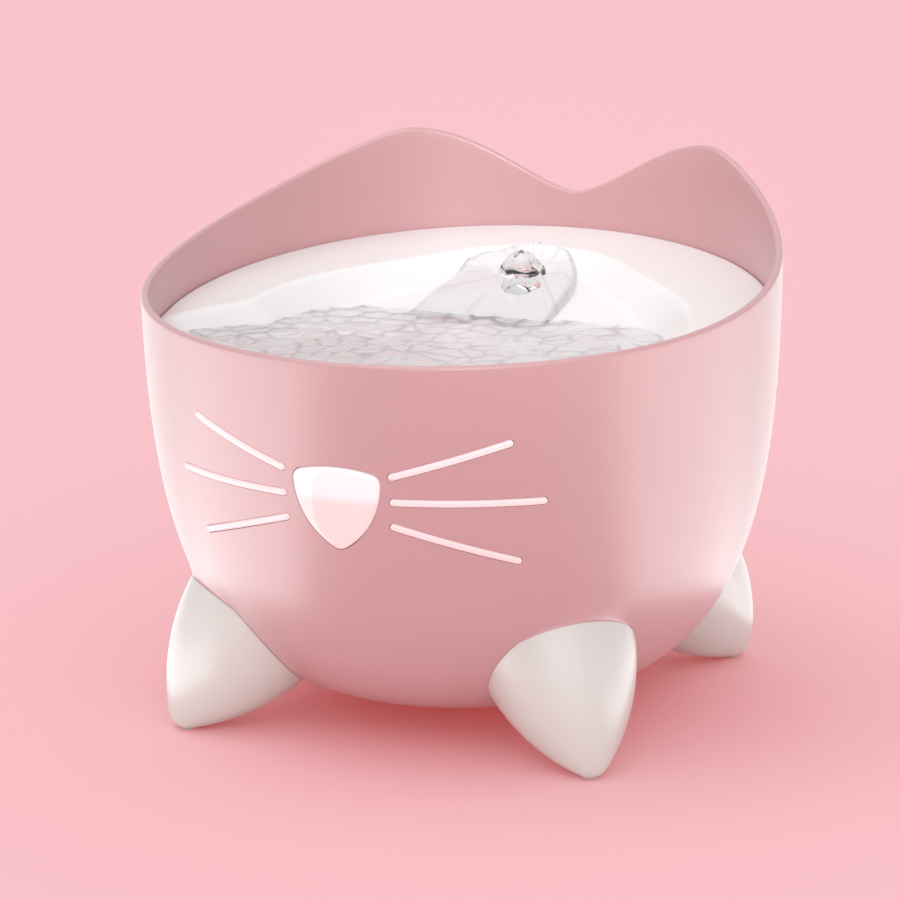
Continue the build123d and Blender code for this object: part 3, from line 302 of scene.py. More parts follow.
def tube_faces(stations, size, first=0, ring=True):
    """Quads of a tube whose closed section is repeated at each station, along or round a ring."""
    faces = []
    for k in range(stations if ring else stations - 1):
        one, two = first + k * size, first + (k + 1) % stations * size
        for i in range(size):
            j = (i + 1) % size
            faces.append((one + i, two + i, two + j, one + j))
    return faces


def add_prism(points, faces, ring_out, ring_in):
    """Adds a closed bar between two rings of points to a mesh's lists."""
    first, count = len(points), len(ring_out)
    points += [*ring_out, *ring_in]
    faces.append(tuple(first + i for i in range(count)))
    faces.append(tuple(first + count + i for i in reversed(range(count))))
    for i in range(count):
        j = (i + 1) % count
        faces.append((first + i, first + count + i, first + count + j, first + j))


def arc(start, through, end, count=40):
    """Points on the circle through three points, from the first up to the last."""
    (ax, ay), (bx, by), (cx, cy) = start, through, end
    a2, b2, c2 = ax ** 2 + ay ** 2, bx ** 2 + by ** 2, cx ** 2 + cy ** 2
    d = 2 * (ax * (by - cy) + bx * (cy - ay) + cx * (ay - by))
    ux = (a2 * (by - cy) + b2 * (cy - ay) + c2 * (ay - by)) / d
    uy = (a2 * (cx - bx) + b2 * (ax - cx) + c2 * (bx - ax)) / d
    radius = math.hypot(ax - ux, ay - uy)
    first, middle, last = (math.atan2(y - uy, x - ux) for x, y in (start, through, end))
    turn = (last - first) % (2 * math.pi)
    if (middle - first) % (2 * math.pi) > turn:
        turn -= 2 * math.pi
    angles = [first + turn * k / count for k in range(count)]
    return [(ux + radius * math.cos(a), uy + radius * math.sin(a)) for a in angles]


def nose_outline(grow=0.0, points=176, soften=11):
    """Triangle, point down, in x and z: three arcs whose corners are softened over some points."""
    x, z = nose_corner
    side_x, side_z = nose_side
    ring = arc((x, z), (side_x, side_z), (0, nose_tip)) + arc((0, nose_tip), (-side_x, side_z), (-x, z))
    ring = np.array(ring + arc((-x, z), (0, nose_top), (x, z)))
    middle = np.array((0.0, nose_middle))
    angles = np.arctan2(ring[:, 1] - middle[1], ring[:, 0] - middle[0])
    order = np.argsort(angles)
    radii = np.hypot(*(ring - middle).T)[order]
    even = np.linspace(-math.pi, math.pi, points, endpoint=False)
    r = np.interp(even, angles[order], radii, period=2 * math.pi)
    kernel = np.hanning(soften + 2)[1:-1]
    kernel /= kernel.sum()
    padded = np.concatenate((r[-soften:], r, r[:soften]))
    r = np.convolve(padded, kernel, "same")[soften:-soften]
    outline = np.stack((middle[0] + r * np.cos(even), middle[1] + r * np.sin(even)), 1)
    tangent = np.roll(outline, -1, 0) - np.roll(outline, 1, 0)
    tangent /= np.hypot(*tangent.T)[:, None]
    return outline + grow * np.stack((tangent[:, 1], -tangent[:, 0]), 1)


def whisker_run(line):
    """Millimetres in a degree at a whisker's height, its length, and the ways along and across it."""
    start, start_z, end, end_z = line
    scale = math.radians(1) * side_r((start_z + end_z) / 2)
    run = np.array(((end - start) * scale, end_z - start_z))
    length = np.hypot(*run)
    along = run / length
    return scale, length, along, np.array((-along[1], along[0]))


def whisker_outline(side, line, grow):
    """Outline of a whisker as azimuths and heights, a long bar with round ends."""
    half = bar_half + grow
    scale, length, along, across = whisker_run(line)
    points = []
    for centre, first in ((length, 90), (0.0, 270)):
        for k in range(13):
            a = math.radians(first - 180 * k / 12)
            spot = along * (centre + half * math.cos(a)) + across * half * math.sin(a)
            points.append((side * (line[0] + spot[0] / scale), line[1] + spot[1]))
    return points


def moulded_abs(name, dark, light, cloud_size, rough, satin=True):
    """ABS from a finely spark-eroded tool: a faint cloud in the tone and a fine grain in the gloss."""
    material, tree = new_material(name)
    coords = add_node(tree, "ShaderNodeTexCoord").outputs["Object"]
    cloud = add_node(tree, "ShaderNodeTexNoise", {
        "Vector": coords, "Scale": per_metre(cloud_size), "Detail": 3.0})
    tone = add_node(tree, "ShaderNodeMix", {
        "Factor": cloud.outputs["Fac"], "A": linear(dark), "B": linear(light)}, data_type="RGBA")
    grain = add_node(tree, "ShaderNodeTexNoise", {
        "Vector": coords, "Scale": per_metre(grain_size), "Detail": 2.0})
    gloss = add_node(tree, "ShaderNodeMapRange", {
        "Value": grain.outputs["Fac"], "To Min": rough[0], "To Max": rough[1]})
    skin = {"Base Color": tone.outputs["Result"], "Roughness": gloss.outputs["Result"], "IOR": 1.53}
    if satin:
        bump = add_node(tree, "ShaderNodeBump", {
            "Height": grain.outputs["Fac"], "Strength": 0.05, "Distance": 0.0002})
        skin |= {"Normal": bump.outputs["Normal"],
                 "Coat Weight": 1.0, "Coat IOR": 1.8, "Coat Roughness": 0.35}
    shell = add_node(tree, "ShaderNodeBsdfPrincipled", skin)
    finish_material(tree, shell.outputs["BSDF"])
    return material


def bake_modifiers(piece, smooth_angle=35):
    """Turns a piece's modifiers into plain mesh."""
    bpy.context.view_layer.update()
    result = bpy.data.meshes.new_from_object(piece.evaluated_get(bpy.context.evaluated_depsgraph_get()))
    piece.modifiers.clear()
    piece.data = result
    result.shade_smooth()
    result.set_sharp_from_angle(angle=math.radians(smooth_angle))


def cut_holes(piece, points, faces, tangled=False):
    """Cuts bars out of a piece. Bars that run into each other are tangled."""
    cutter = new_piece(piece.name + "_cutter", points, faces, piece.data.materials[0])
    cut = piece.modifiers.new("holes", "BOOLEAN")
    cut.object = cutter
    cut.operation = "DIFFERENCE"
    cut.solver = "EXACT"
    cut.use_self = tangled
    bake_modifiers(piece)
    bpy.data.objects.remove(cutter)


# Pink satin under a clear lacquer: broad soft bands of light and no sharp mirror image. The
# real grain is finer than 0.45 mm, and it is drawn at that so that it still shows.
grain_size = 0.4545
pink = moulded_abs("pink_abs_satin", "CF989C", "D19A9E", 35.7, (0.34, 0.44))
columns = 320
bowl_points = []
for c in range(columns):
    azimuth = -180 + 360 * c / columns
    section = bowl_column(azimuth)
    bowl_points += [polar(r, azimuth, z) for r, z in section]
bowl = new_piece("bowl_moulding", bowl_points, grid_faces(columns, len(section)), pink)

cut_points, cut_faces = [], []
rings = [[(x, y, z) for x, z in nose_outline(nose_gap)] for y in (-125, -105)]
add_prism(cut_points, cut_faces, *rings)
for side in (-1, 1):
    for line in whisker_lines:
        ring = whisker_outline(side, line, bar_gap)
        outward = polar(1, side * (line[0] + line[2]) / 2, 0)
        rings = [[polar(side_r(z), a, z) + outward * reach for a, z in ring] for reach in (4, -9)]
        add_prism(cut_points, cut_faces, *rings)
inlet_turns = np.linspace(0, 2 * math.pi, 48, endpoint=False)
for radius, near in ((inlet_hole_r, 105), (inlet_seat_r, side_r(float(inlet_z)) - inlet_seat_deep)):
    ring = [(radius * math.cos(a), inlet_z + radius * math.sin(a)) for a in inlet_turns]
    add_prism(cut_points, cut_faces, *([(x, y, z) for x, z in ring] for y in (near, 125)))
cut_holes(bowl, cut_points, cut_faces, tangled=True)


def foot_axes():
    """Middle of a foot's round seam at azimuth 0, the ways up its slope, level and down its axis."""
    start, end = polar(seam_r, 0, seam_z), polar(tip_reach, 0, tip_r)
    down = (end - start) / np.linalg.norm(end - start)
    level = polar(1, 90, 0)
    return start, -np.cross(level, down), level, down


def above_seam(reach, angle):
    """How far up the foot's axis the bowl's outside lies, at reaches and angles round that axis."""
    start, up, level, down = foot_axes()
    foot = start + (reach * np.cos(angle))[:, None] * up + (reach * np.sin(angle))[:, None] * level
    low, high = np.full(angle.shape, -30.0), np.full(angle.shape, 60.0)
    for _ in range(40):
        middle = (low + high) / 2
        spot = foot - middle[:, None] * down
        outside = np.hypot(spot[:, 0], spot[:, 1]) > side_r(spot[:, 2])
        low, high = np.where(outside, middle, low), np.where(outside, high, middle)
    return high


# The collar stands round the foot and flares into the bowl's side, where it ends sunk in the wall.
turns, blend, collar_wall, sink = 120, 9.0, 2.8, 1.3
angles = 2 * math.pi * np.arange(turns) / turns
hold = np.full(turns, foot_r)
flare = blend * ease(above_seam(hold, angles) / 2.0) + 0.05
far_out = hold + flare
surface = above_seam(far_out, angles)
slope = above_seam(far_out + 0.5, angles) - above_seam(far_out - 0.5, angles)
corner = np.clip(surface - slope * flare, 0.05, None)
edge_z = np.minimum(0.5, corner * 0.5)
section = [(hold - 0.5, 0 * hold), (hold - 0.12, 0.1 + 0 * hold), (hold, np.minimum(0.4, corner * 0.4))]
for t in np.linspace(0, 1, 14):
    height = (1 - t) ** 2 * edge_z + 2 * t * (1 - t) * corner + t * t * surface
    section.append((hold + flare * t * t, height))
section.append((far_out + 0.5, above_seam(far_out + 0.5, angles) + sink))
section.append((hold - collar_wall, above_seam(hold - collar_wall, angles) + sink))
section.append((hold - collar_wall, 0 * hold))
seam_middle, up, level, down = foot_axes()
collar = []
for k in range(turns):
    for reach, height in section:
        r, deepest = reach[k], above_seam(reach[k:k + 1], angles[k:k + 1])[0] + sink
        spoke = math.cos(angles[k]) * up + math.sin(angles[k]) * level
        collar.append(seam_middle + r * spoke - min(height[k], deepest) * down)
x, y, z = np.array(collar).T
collar_points, collar_faces = [], []
for azimuth in foot_azimuths.values():
    a = math.radians(azimuth)
    collar_faces += tube_faces(turns, len(section), len(collar_points))
    collar_points += [*zip(x * math.cos(a) - y * math.sin(a), x * math.sin(a) + y * math.cos(a), z)]
collars = new_piece("bowl_collars", collar_points, collar_faces, pink)
for piece in (bowl, collars):
    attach(piece, "base")
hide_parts("bowl_shell")


# ---------------------------------------------------------------- feet
# Four hollow cones in white ABS with a satin skin, each plugged into its collar. The tip
# is a ball, and a soft pad is let into it.
def merged_copy(name, source, material):
    """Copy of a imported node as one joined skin, shaded smooth except at real edges."""
    mesh = nodes[source].data.copy()
    mesh.name = name
    mesh.materials.clear()
    mesh.materials.append(material)
    for key in ("custom_normal", "sharp_face", "sharp_edge"):
        if key in mesh.attributes:
            mesh.attributes.remove(mesh.attributes[key])
    tidy = bmesh.new()
    tidy.from_mesh(mesh)
    bmesh.ops.remove_doubles(tidy, verts=tidy.verts, dist=2e-6)
    tidy.to_mesh(mesh)
    tidy.free()
    mesh.polygons.foreach_set("material_index", [0] * len(mesh.polygons))
    mesh.shade_smooth()
    mesh.set_sharp_from_angle(angle=math.radians(30))
    piece = bpy.data.objects.new(name, mesh)
    bpy.context.scene.collection.objects.link(piece)
    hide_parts(source)
    return piece


# The bowl's lacquer over white: a warm white with soft edges to its light.
white = moulded_abs("white_abs_satin", "DED6D2", "E1DAD6", 33.3, (0.3, 0.4))
for place in foot_azimuths:
    foot = merged_copy("foot_cone_" + place, "foot_" + place, white)
    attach(foot, "base")


# ---------------------------------------------------------------- nose and whiskers
# Pale pink acrylic lenses pressed into the wall from behind. The nose is bevelled and
# stands a little proud, and the whiskers are slim round-topped bars.
def acrylic_finish(name, top, low, split, softness):
    """Acrylic over a pale core with a faint painted glow, and a painted highlight: brighter above a height
    in metres where it catches the light.
    """
    material, tree = new_material(name)
    coords = add_node(tree, "ShaderNodeTexCoord").outputs["Object"]
    swirl = add_node(tree, "ShaderNodeTexNoise", {"Vector": coords, "Scale": per_metre(11.1), "Detail": 2.0})
    height = add_node(tree, "ShaderNodeSeparateXYZ", {"Vector": coords}).outputs["Z"]
    wave = add_node(tree, "ShaderNodeMath", {
        0: swirl.outputs["Fac"], 1: 0.003, 2: height}, operation="MULTIPLY_ADD")
    # The band is a painted highlight: the lens is lighter above the split height.
    painted_highlight_band = add_node(tree, "ShaderNodeMapRange", {
        "Value": wave.outputs["Value"], "From Min": split - softness, "From Max": split + softness})
    tone = add_node(tree, "ShaderNodeMix", {
        "Factor": painted_highlight_band.outputs["Result"], "A": linear(low), "B": linear(top)}, data_type="RGBA")
    # The emission is a painted glow in the lens's own tone, for the face lights behind it.
    lens = add_node(tree, "ShaderNodeBsdfPrincipled", {
        "Base Color": tone.outputs["Result"], "Roughness": 0.08, "IOR": 1.49,
        "Transmission Weight": 0.1, "Coat Weight": 0.6, "Coat Roughness": 0.03,
        "Emission Color": tone.outputs["Result"], "Emission Strength": 0.22})
    finish_material(tree, lens.outputs["BSDF"])
    return material


# Polished acrylic: smooth and glossy. A painted highlight lightens its upper part: the nose shows a crisp
# line between its bright upper and its pinker lower half, and the whiskers fade from one to the other.
nose_acrylic = acrylic_finish("nose_acrylic", "F6EAEE", "EED6D6", 0.1075, 0.0016)
bar_acrylic = acrylic_finish("whisker_acrylic", "F6E2E4", "F0D2D4", 0.106, 0.03)

# Each row of the nose: its share of the way out from the middle, and how far it stands
# proud of the bowl's side, down the bevel and back along the plug behind it.
nose_rows = [(0.02, 1.5), (0.2, 1.48), (0.4, 1.42), (0.6, 1.34), (0.75, 1.24), (0.86, 1.12),
             (0.93, 0.9), (0.97, 0.6), (0.99, 0.3), (1.0, -0.1), (1.0, -3.05), (0.98, -4.2), (0.02, -4.2)]
outline = nose_outline()
middle = outline.mean(0)
nose_points = []
for spot in outline:
    for share, proud in nose_rows:
        x, z = middle + (spot - middle) * share
        nose_points.append((x, -math.sqrt((side_r(z) + proud) ** 2 - x * x), z))
nose_faces = grid_faces(len(outline), len(nose_rows), caps=True)
nose = new_piece("nose_gem", nose_points, nose_faces, nose_acrylic, 50)
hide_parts("nose_lens")
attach(nose, "base")

bar_crown, bar_root, bar_size = 0.75, -4.0, 15
for side, label in ((-1, "left"), (1, "right")):
    bar_points, bar_faces = [], []
    for line in whisker_lines:
        scale, length, along, across = whisker_run(line)
        first = len(bar_points)
        stations = [-bar_half * math.cos(k / 8 * math.pi / 2) for k in range(8)]
        stations += list(np.linspace(0, length, 40))
        stations += [length + bar_half * math.sin(k / 8 * math.pi / 2) for k in range(1, 9)]
        for s in stations:
            over = max(-s, s - length, 0.0)
            half = max(math.sqrt(max(bar_half ** 2 - over ** 2, 0.0)), 0.02)
            section = [(half * math.cos(a), half / bar_half * bar_crown * math.sin(a))
                       for a in np.linspace(0, math.pi, bar_size - 2)]
            section += [(-half, bar_root), (half, bar_root)]
            for v, out in section:
                spot = along * s + across * v
                z = line[1] + spot[1]
                bar_points.append(polar(side_r(z) + out, side * (line[0] + spot[0] / scale), z))
        bar_faces += tube_faces(len(stations), bar_size, first, ring=False)
        end = first + (len(stations) - 1) * bar_size
        bar_faces.append(tuple(first + i for i in range(bar_size)))
        bar_faces.append(tuple(end + i for i in reversed(range(bar_size))))
    bars = new_piece("whisker_bars_" + label, bar_points, bar_faces, bar_acrylic, 50)
    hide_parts("whisker_lens_" + label)
    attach(bars, "base")


# ---------------------------------------------------------------- drinking tray
# One white ABS moulding: a margin that rises to the back, a dished scoop round the outlet
# and a level drinking pool in front. Its skirt stands on ribs inside the bowl, and its boss
# fits over the riser tube.
tray_mid, tray_slope, tray_front = 146.7, 0.105, 144.5
pool_floor, ramp_mid, ramp_slope = 130.5, 132.1, 0.1875
water_z, outlet_y, outlet_r, tray_thick = 139.0, 60.0, 7.0, 2.6
tray_gap, front_margin, lean_back, lean_more = 0.4, 3.5, 0.9, 0.85
drain_long, drain_wide, drain_azimuths = 7.0, 2.1, (-24, -12, 0, 12, 24)
skirt_low, skirt_r, skirt_gap, skirt_inner = 134.0, 115.5, 0.6, 2.6
boss_hole_r, boss_r, boss_low, boss_top = 8.5, 10.9, 123.95, 141.0


def soft_max(a, b, size):
    """The larger of two heights, rounded over where they cross."""
    blend = np.clip(0.5 + 0.5 * (a - b) / size, 0.0, 1.0)
    return b + (a - b) * blend + size * blend * (1 - blend)


def scoop_edge(azimuth):
    """Radius at which the dish begins, wider at the front than beside the outlet."""
    front = side_r(tray_front, wall) - tray_gap - front_margin
    round_r = 79.0 + 8.0 * ease((140 - azimuth) / 50) + 10.0 * ease((azimuth - 140) / 35)
    return round_r + (front - round_r) * (1 - ease((azimuth - 75) / 16))


def tray_top(x, y):
    """Height of the tray's upper face."""
    x, y = np.asarray(x, float), np.asarray(y, float)
    r, azimuth = np.hypot(x, y), np.abs(np.degrees(np.arctan2(x, -y)))
    margin = soft_max(tray_mid + tray_slope * y, tray_front, 0.6)
    basin = soft_max(ramp_mid + ramp_slope * y, pool_floor, 1.5)
    edge = scoop_edge(azimuth)
    edge_y = -edge * np.cos(np.radians(azimuth))
    edge_z = np.maximum(tray_mid + tray_slope * edge_y, tray_front)
    lean = lean_back + lean_more * (1 - ease((azimuth - 60) / 50))
    slope = edge_z + (r - edge) / lean
    return -soft_max(-margin, -soft_max(basin, slope, 2.2), 1.2)


# White from a polished tool: clean and glossy, brighter than the satin feet.
tray_white = moulded_abs("white_abs_gloss", "F4F1F1", "F7F4F4", 33.3, (0.22, 0.3), satin=False)
tray_rings, tray_turns = 120, 240
azimuths = -180 + 360 * np.arange(tray_turns) / tray_turns
out_x, out_y = np.sin(np.radians(azimuths)), -np.cos(np.radians(azimuths))
reach = np.full(tray_turns, skirt_r)
for _ in range(4):
    reach = side_r(tray_top(out_x * reach, out_y * reach), wall) - tray_gap
upper = reach[:, None] * np.linspace(0.002, 1, tray_rings)[None, :]
under = np.minimum(upper, reach[:, None] - tray_gap)[:, ::-1]
tray_points = []
for radii, drop in ((upper, 0.0), (under, tray_thick)):
    x, y = out_x[:, None] * radii, out_y[:, None] * radii
    tray_points.append(np.stack((x, y, tray_top(x, y) - drop), 2))
tray_points[0][:, -1, 2] -= 0.5
tray_points = np.concatenate(tray_points, 1).reshape(-1, 3)
tray = new_piece("tray_dish", tray_points, grid_faces(tray_turns, 2 * tray_rings, caps=True), tray_white)

# Round outlet, and five slots in the front of the dish that drain at the water's level.
holes = [(0.0, outlet_y, outlet_r, outlet_r, 0.0)]
for azimuth in drain_azimuths:
    front_slope = (lean_back + lean_more) * (tray_front - water_z)
    x, y = polar(scoop_edge(0.0) - front_slope + drain_wide, azimuth, 0)[:2]
    holes.append((x, y, drain_long, drain_wide, azimuth))
cut_points, cut_faces = [], []
for x, y, long, wide, azimuth in holes:
    t = math.radians(azimuth)
    ring = []
    for a in np.linspace(0, 2 * math.pi, 64, endpoint=False):
        u, v = wide * math.cos(a), wide * math.sin(a)
        u += (long - wide) * (1 if math.cos(a) > 0 else -1)
        ring.append((x + u * math.cos(t) - v * math.sin(t), y + u * math.sin(t) + v * math.cos(t)))
    add_prism(cut_points, cut_faces, *([(u, v, z) for u, v in ring] for z in (175, 110)))
cut_holes(tray, cut_points, cut_faces)
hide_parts("drinking_tray")

skirt_points = []
for azimuth in azimuths:
    x, y = polar(skirt_r, azimuth, 0)[:2]
    top = float(tray_top(x, y)) - 1.0
    for z, inset in ((skirt_low, tray_gap), (top, skirt_gap), (top, skirt_inner), (skirt_low, skirt_inner)):
        skirt_points.append(polar(side_r(z, wall) - inset, azimuth, z))
skirt = new_piece("tray_skirt", skirt_points, tube_faces(tray_turns, 4), tray_white)

boss_turns = 64
boss_points = []
for k in range(boss_turns):
    a = 2 * math.pi * k / boss_turns
    for r, z in ((boss_hole_r, boss_low), (boss_r, boss_low), (boss_r, boss_top), (boss_hole_r, boss_top)):
        boss_points.append((r * math.cos(a), outlet_y + r * math.sin(a), z))
boss = new_piece("tray_boss", boss_points, tube_faces(boss_turns, 4), tray_white)
for piece in (tray, skirt, boss):
    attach(piece, "tray")


# ---------------------------------------------------------------- water
# Clean water from the pump: it wells up through the outlet in a bell, runs down the scoop
# in a fan with rounded edges, and breaks the pool into small ripples. Nothing holds it.

# Clear and mirror-smooth. An attribute paints shade on it, a little darker where ripples and folds would
# bend the light away, and its shadow is left faint, as clear water lets nearly all light through.
clear, tree = new_material("clear_water")
shade = add_node(tree, "ShaderNodeAttribute", attribute_name="shade").outputs["Fac"]
# The lilac is painted shade, laid on where the shade attribute is high.
painted_shade_tone = add_node(tree, "ShaderNodeMix", {
    "Factor": shade, "A": linear("FFFFFF"), "B": linear("C8C2CC")}, data_type="RGBA")
water = add_node(tree, "ShaderNodeBsdfPrincipled", {
    "Base Color": painted_shade_tone.outputs["Result"], "Roughness": 0.02, "IOR": 1.333, "Transmission Weight": 1.0})
see_through = add_node(tree, "ShaderNodeBsdfTransparent", {"Color": linear("FBFBFC")})
path = add_node(tree, "ShaderNodeLightPath").outputs
mixed = add_node(tree, "ShaderNodeMixShader", {
    0: path["Is Shadow Ray"], 1: water.outputs["BSDF"], 2: see_through.outputs["BSDF"]})
finish_material(tree, mixed.outputs["Shader"])


def lumps(x, y, size, seed):
    """Smooth seeded noise from -1 to 1 whose lumps are about a size across."""
    rng = np.random.default_rng(seed)
    table = rng.uniform(-1, 1, (64, 64))
    u, v = np.asarray(x) / size + 500, np.asarray(y) / size + 500
    iu, iv = np.floor(u).astype(int), np.floor(v).astype(int)
    fu, fv = ease(u - iu), ease(v - iv)
    iu, iv = iu % 64, iv % 64
    ju, jv = (iu + 1) % 64, (iv + 1) % 64
    low = table[iu, iv] * (1 - fu) + table[ju, iv] * fu
    high = table[iu, jv] * (1 - fu) + table[ju, jv] * fu
    return low * (1 - fv) + high * fv


def cells(x, y, size, seed):
    """Distance to the border between a seeded set of irregular cells, in millimetres."""
    rng = np.random.default_rng(seed)
    shift = rng.uniform(0.1, 0.9, (40, 40, 2))
    u, v = np.asarray(x) / size + 20, np.asarray(y) / size + 20
    iu, iv = np.floor(u).astype(int), np.floor(v).astype(int)
    near = np.full(u.shape, 9.0)
    second = np.full(u.shape, 9.0)
    for du in (-1, 0, 1):
        for dv in (-1, 0, 1):
            spot = shift[(iu + du) % 40, (iv + dv) % 40]
            away = np.hypot(iu + du + spot[..., 0] - u, iv + dv + spot[..., 1] - v)
            second = np.minimum(second, np.maximum(near, away))
            near = np.minimum(near, away)
    return (second - near) * size


def ripple_seam(x, y):
    """Distance to the nearest crest between two ripples, about 10 mm apart and bent at random."""
    return cells(x + 3 * lumps(x, y, 9, 3), y + 3 * lumps(x, y, 9, 4), 10, 5)


def ripple(x, y):
    """Height of the broken surface over the level of the pool."""
    crest = np.exp(-ripple_seam(x, y) / 1.3)
    fine = lumps(x, y, 4.5, 6) * 0.25 + lumps(x, y, 9, 7) * 0.35
    return 0.55 * crest + 0.4 * fine


def ripple_shade(x, y):
    """Painted shade on the pool: darker along the seams between ripples and in broad soft patches."""
    seam = (1 - ease(ripple_seam(x, y) / 2.2 - 0.2)) * ease(0.75 + 0.9 * lumps(x, y, 12, 21))
    patch = ease(lumps(x, y, 11, 22) * 1.6 - 0.35) * 0.22
    return np.clip(seam + patch, 0.0, 1.0)


def mark_shade(piece, shade_at):
    """Writes the painted shade at each point of a water piece, from its place in millimetres."""
    spots = np.empty(len(piece.data.vertices) * 3)
    piece.data.vertices.foreach_get("co", spots)
    x, y, z = spots.reshape(-1, 3).T * 1000
    layer = piece.data.attributes.new("shade", "FLOAT", "POINT")
    layer.data.foreach_set("value", shade_at(x, y, z).astype(np.float32))


def slab(name, x, y, top, low, wet):
    """Closed sheet of water between two height fields, over the cells whose four corners are wet."""
    cell = wet[:-1, :-1] & wet[1:, :-1] & wet[:-1, 1:] & wet[1:, 1:]
    used = np.zeros(x.shape, bool)
    for du in (0, 1):
        for dv in (0, 1):
            used[du:x.shape[0] - 1 + du, dv:x.shape[1] - 1 + dv] |= cell
    count = int(used.sum())
    number = -np.ones(x.shape, int)
    number[used] = np.arange(count)
    points = [*zip(x[used], y[used], top[used])] + [*zip(x[used], y[used], low[used])]
    faces, edges = [], {}
    for i, j in zip(*np.nonzero(cell)):
        ring = [number[i, j], number[i + 1, j], number[i + 1, j + 1], number[i, j + 1]]
        faces.append(tuple(ring))
        faces.append(tuple(count + n for n in reversed(ring)))
        for a, b in zip(ring, ring[1:] + ring[:1]):
            if (b, a) in edges:
                del edges[(b, a)]
            else:
                edges[(a, b)] = True
    for a, b in edges:
        faces.append((b, a, count + a, count + b))
    return new_piece(name, points, faces, clear, 80)


# Each row of the fan's edges: its y, then the x of the edge.
fan_left = np.array([(90, -5), (86, -15), (80, -25), (75, -29.7), (64, -33), (52.7, -34.6),
                     (40, -36), (30, -36.5), (24, -37)])
fan_right = np.array([(90, 2), (86, 11), (80, 15.5), (76, 17), (64, 20.5), (57, 21),
                      (40, 21.5), (30.4, 21.6), (24, 22)])
fan_start, fan_end, fan_cut, shore = 90, 24, 34, 1.2


def fan_edges(y):
    """The x of the fan's left and right edge."""
    return [np.interp(-y, -edge[:, 0], edge[:, 1]) for edge in (fan_left, fan_right)]


def inside_fan(x, y):
    """Distance from a spot to the nearer long edge of the fan, below zero outside it."""
    left, right = fan_edges(y)
    return np.minimum(x - left, right - x)


pool_x, pool_y = np.meshgrid(np.arange(-112, 112.1, 1.0), np.arange(-112, 48.1, 1.0), indexing="ij")
bed = tray_top(pool_x, pool_y)
under_fan = (inside_fan(pool_x, pool_y) > 2) & (pool_y > fan_cut)
wet = (bed < water_z + shore) & (np.hypot(pool_x, pool_y) < 113) & ~under_fan
top = np.where(bed < water_z + shore, water_z + ripple(pool_x, pool_y), bed - 0.5)
pool = slab("water_pool", pool_x, pool_y, top, np.minimum(top, bed) - 1.0, wet)
mark_shade(pool, lambda x, y, z: ripple_shade(x, y))

# The film is thickest in a mound over the outlet, has rounded edges and thins into the pool.
film_thick, film_round, mound_high, mound_wide = 3.6, 5, 5.0, 14
across, fan_y = np.meshgrid(np.linspace(0, 1, 70), np.linspace(fan_start, fan_end, 90), indexing="ij")
left, right = fan_edges(fan_y)
fan_x = left + (right - left) * across
edge = np.minimum(across, 1 - across) * (right - left)
film = film_thick * np.sqrt(np.clip(edge / film_round, 0, 1)) * (0.3 + 0.7 * ease((fan_y - 28) / 20))
film += mound_high * np.exp(-(fan_x ** 2 + (fan_y - outlet_y) ** 2) / mound_wide ** 2)
film += 0.35 * lumps(fan_x * 2.0 + fan_y * 0.3, fan_y * 0.6, 9, 11) + 0.25 * lumps(fan_x, fan_y, 5, 12)
film *= ease((fan_start + 1 - fan_y) / 4)
bed = tray_top(fan_x, fan_y)
top = soft_max(bed + np.maximum(film, 0.02), water_z + ripple(fan_x, fan_y) + 0.1, 1.0)
top = top + (bed + 0.05 - top) * ease((33 - fan_y) / 8)
fan = slab("water_fan", fan_x, fan_y, top, bed - 0.6, np.ones(fan_x.shape, bool))


def fan_shade(x, y, z):
    """Painted shade on the fan: a dark outline and faint streaks that run down from the outlet to the
    ripples at the foot.
    """
    outline = np.exp(-((inside_fan(x, y) - 1.0) / 1.1) ** 2)
    turn = np.degrees(np.arctan2(x, outlet_y + 12 - y))
    streak = ease(lumps(turn * 1.2, np.hypot(x, outlet_y - y) * 0.16, 4, 23) * 2.0 - 0.5)
    foot = ease((38 - y) / 8)
    return np.clip((0.9 * outline + 0.4 * streak) * (1 - foot) + 0.7 * foot * ripple_shade(x, y), 0.0, 1.0)


mark_shade(fan, fan_shade)

# The bell rises from the mound: its rows of radius and height run from its skirt to its peak.
bell_z, bell_high, bell_turns = 151.8, 9.0, 72
bell_rows = [(8.7, -0.6), (8.6, 0.6), (8.4, 1.8), (7.9, 3.1), (6.9, 4.6), (5.5, 6.1), (4.0, 7.4),
             (2.5, 8.3), (1.1, 8.8), (0.05, bell_high)]
bell_points = []
for k in range(bell_turns):
    a = 2 * math.pi * k / bell_turns
    for r, z in bell_rows:
        fold = 1 + 0.09 * math.sin(3 * a + 0.6 + z * 0.15) + 0.05 * math.sin(7 * a + z * 0.4)
        x, y = r * fold * math.cos(a) - 0.3 + z * 0.08, outlet_y + r * fold * math.sin(a) - z * 0.05
        bell_points.append((x, y, bell_z + z))
bell = new_piece("water_bell", bell_points, grid_faces(bell_turns, len(bell_rows), caps=True), clear, 80)


def bell_shade(x, y, z):
    """Painted shade on the bell: a darker crescent round the shoulder, with streaks up to the peak."""
    up = (z - bell_z) / bell_high
    around = np.degrees(np.arctan2(x, outlet_y - y))
    crescent = np.exp(-((up - 0.42 - 0.1 * lumps(around, up * 0, 40, 24)) / 0.12) ** 2)
    streak = ease(lumps(around, up * 3, 14, 25) * 2.0 - 0.3) * (1 - up)
    return np.clip(0.4 * crescent + 0.2 * streak, 0.0, 1.0)


mark_shade(bell, bell_shade)
for piece in (pool, fan, bell):
    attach(piece, "tray")


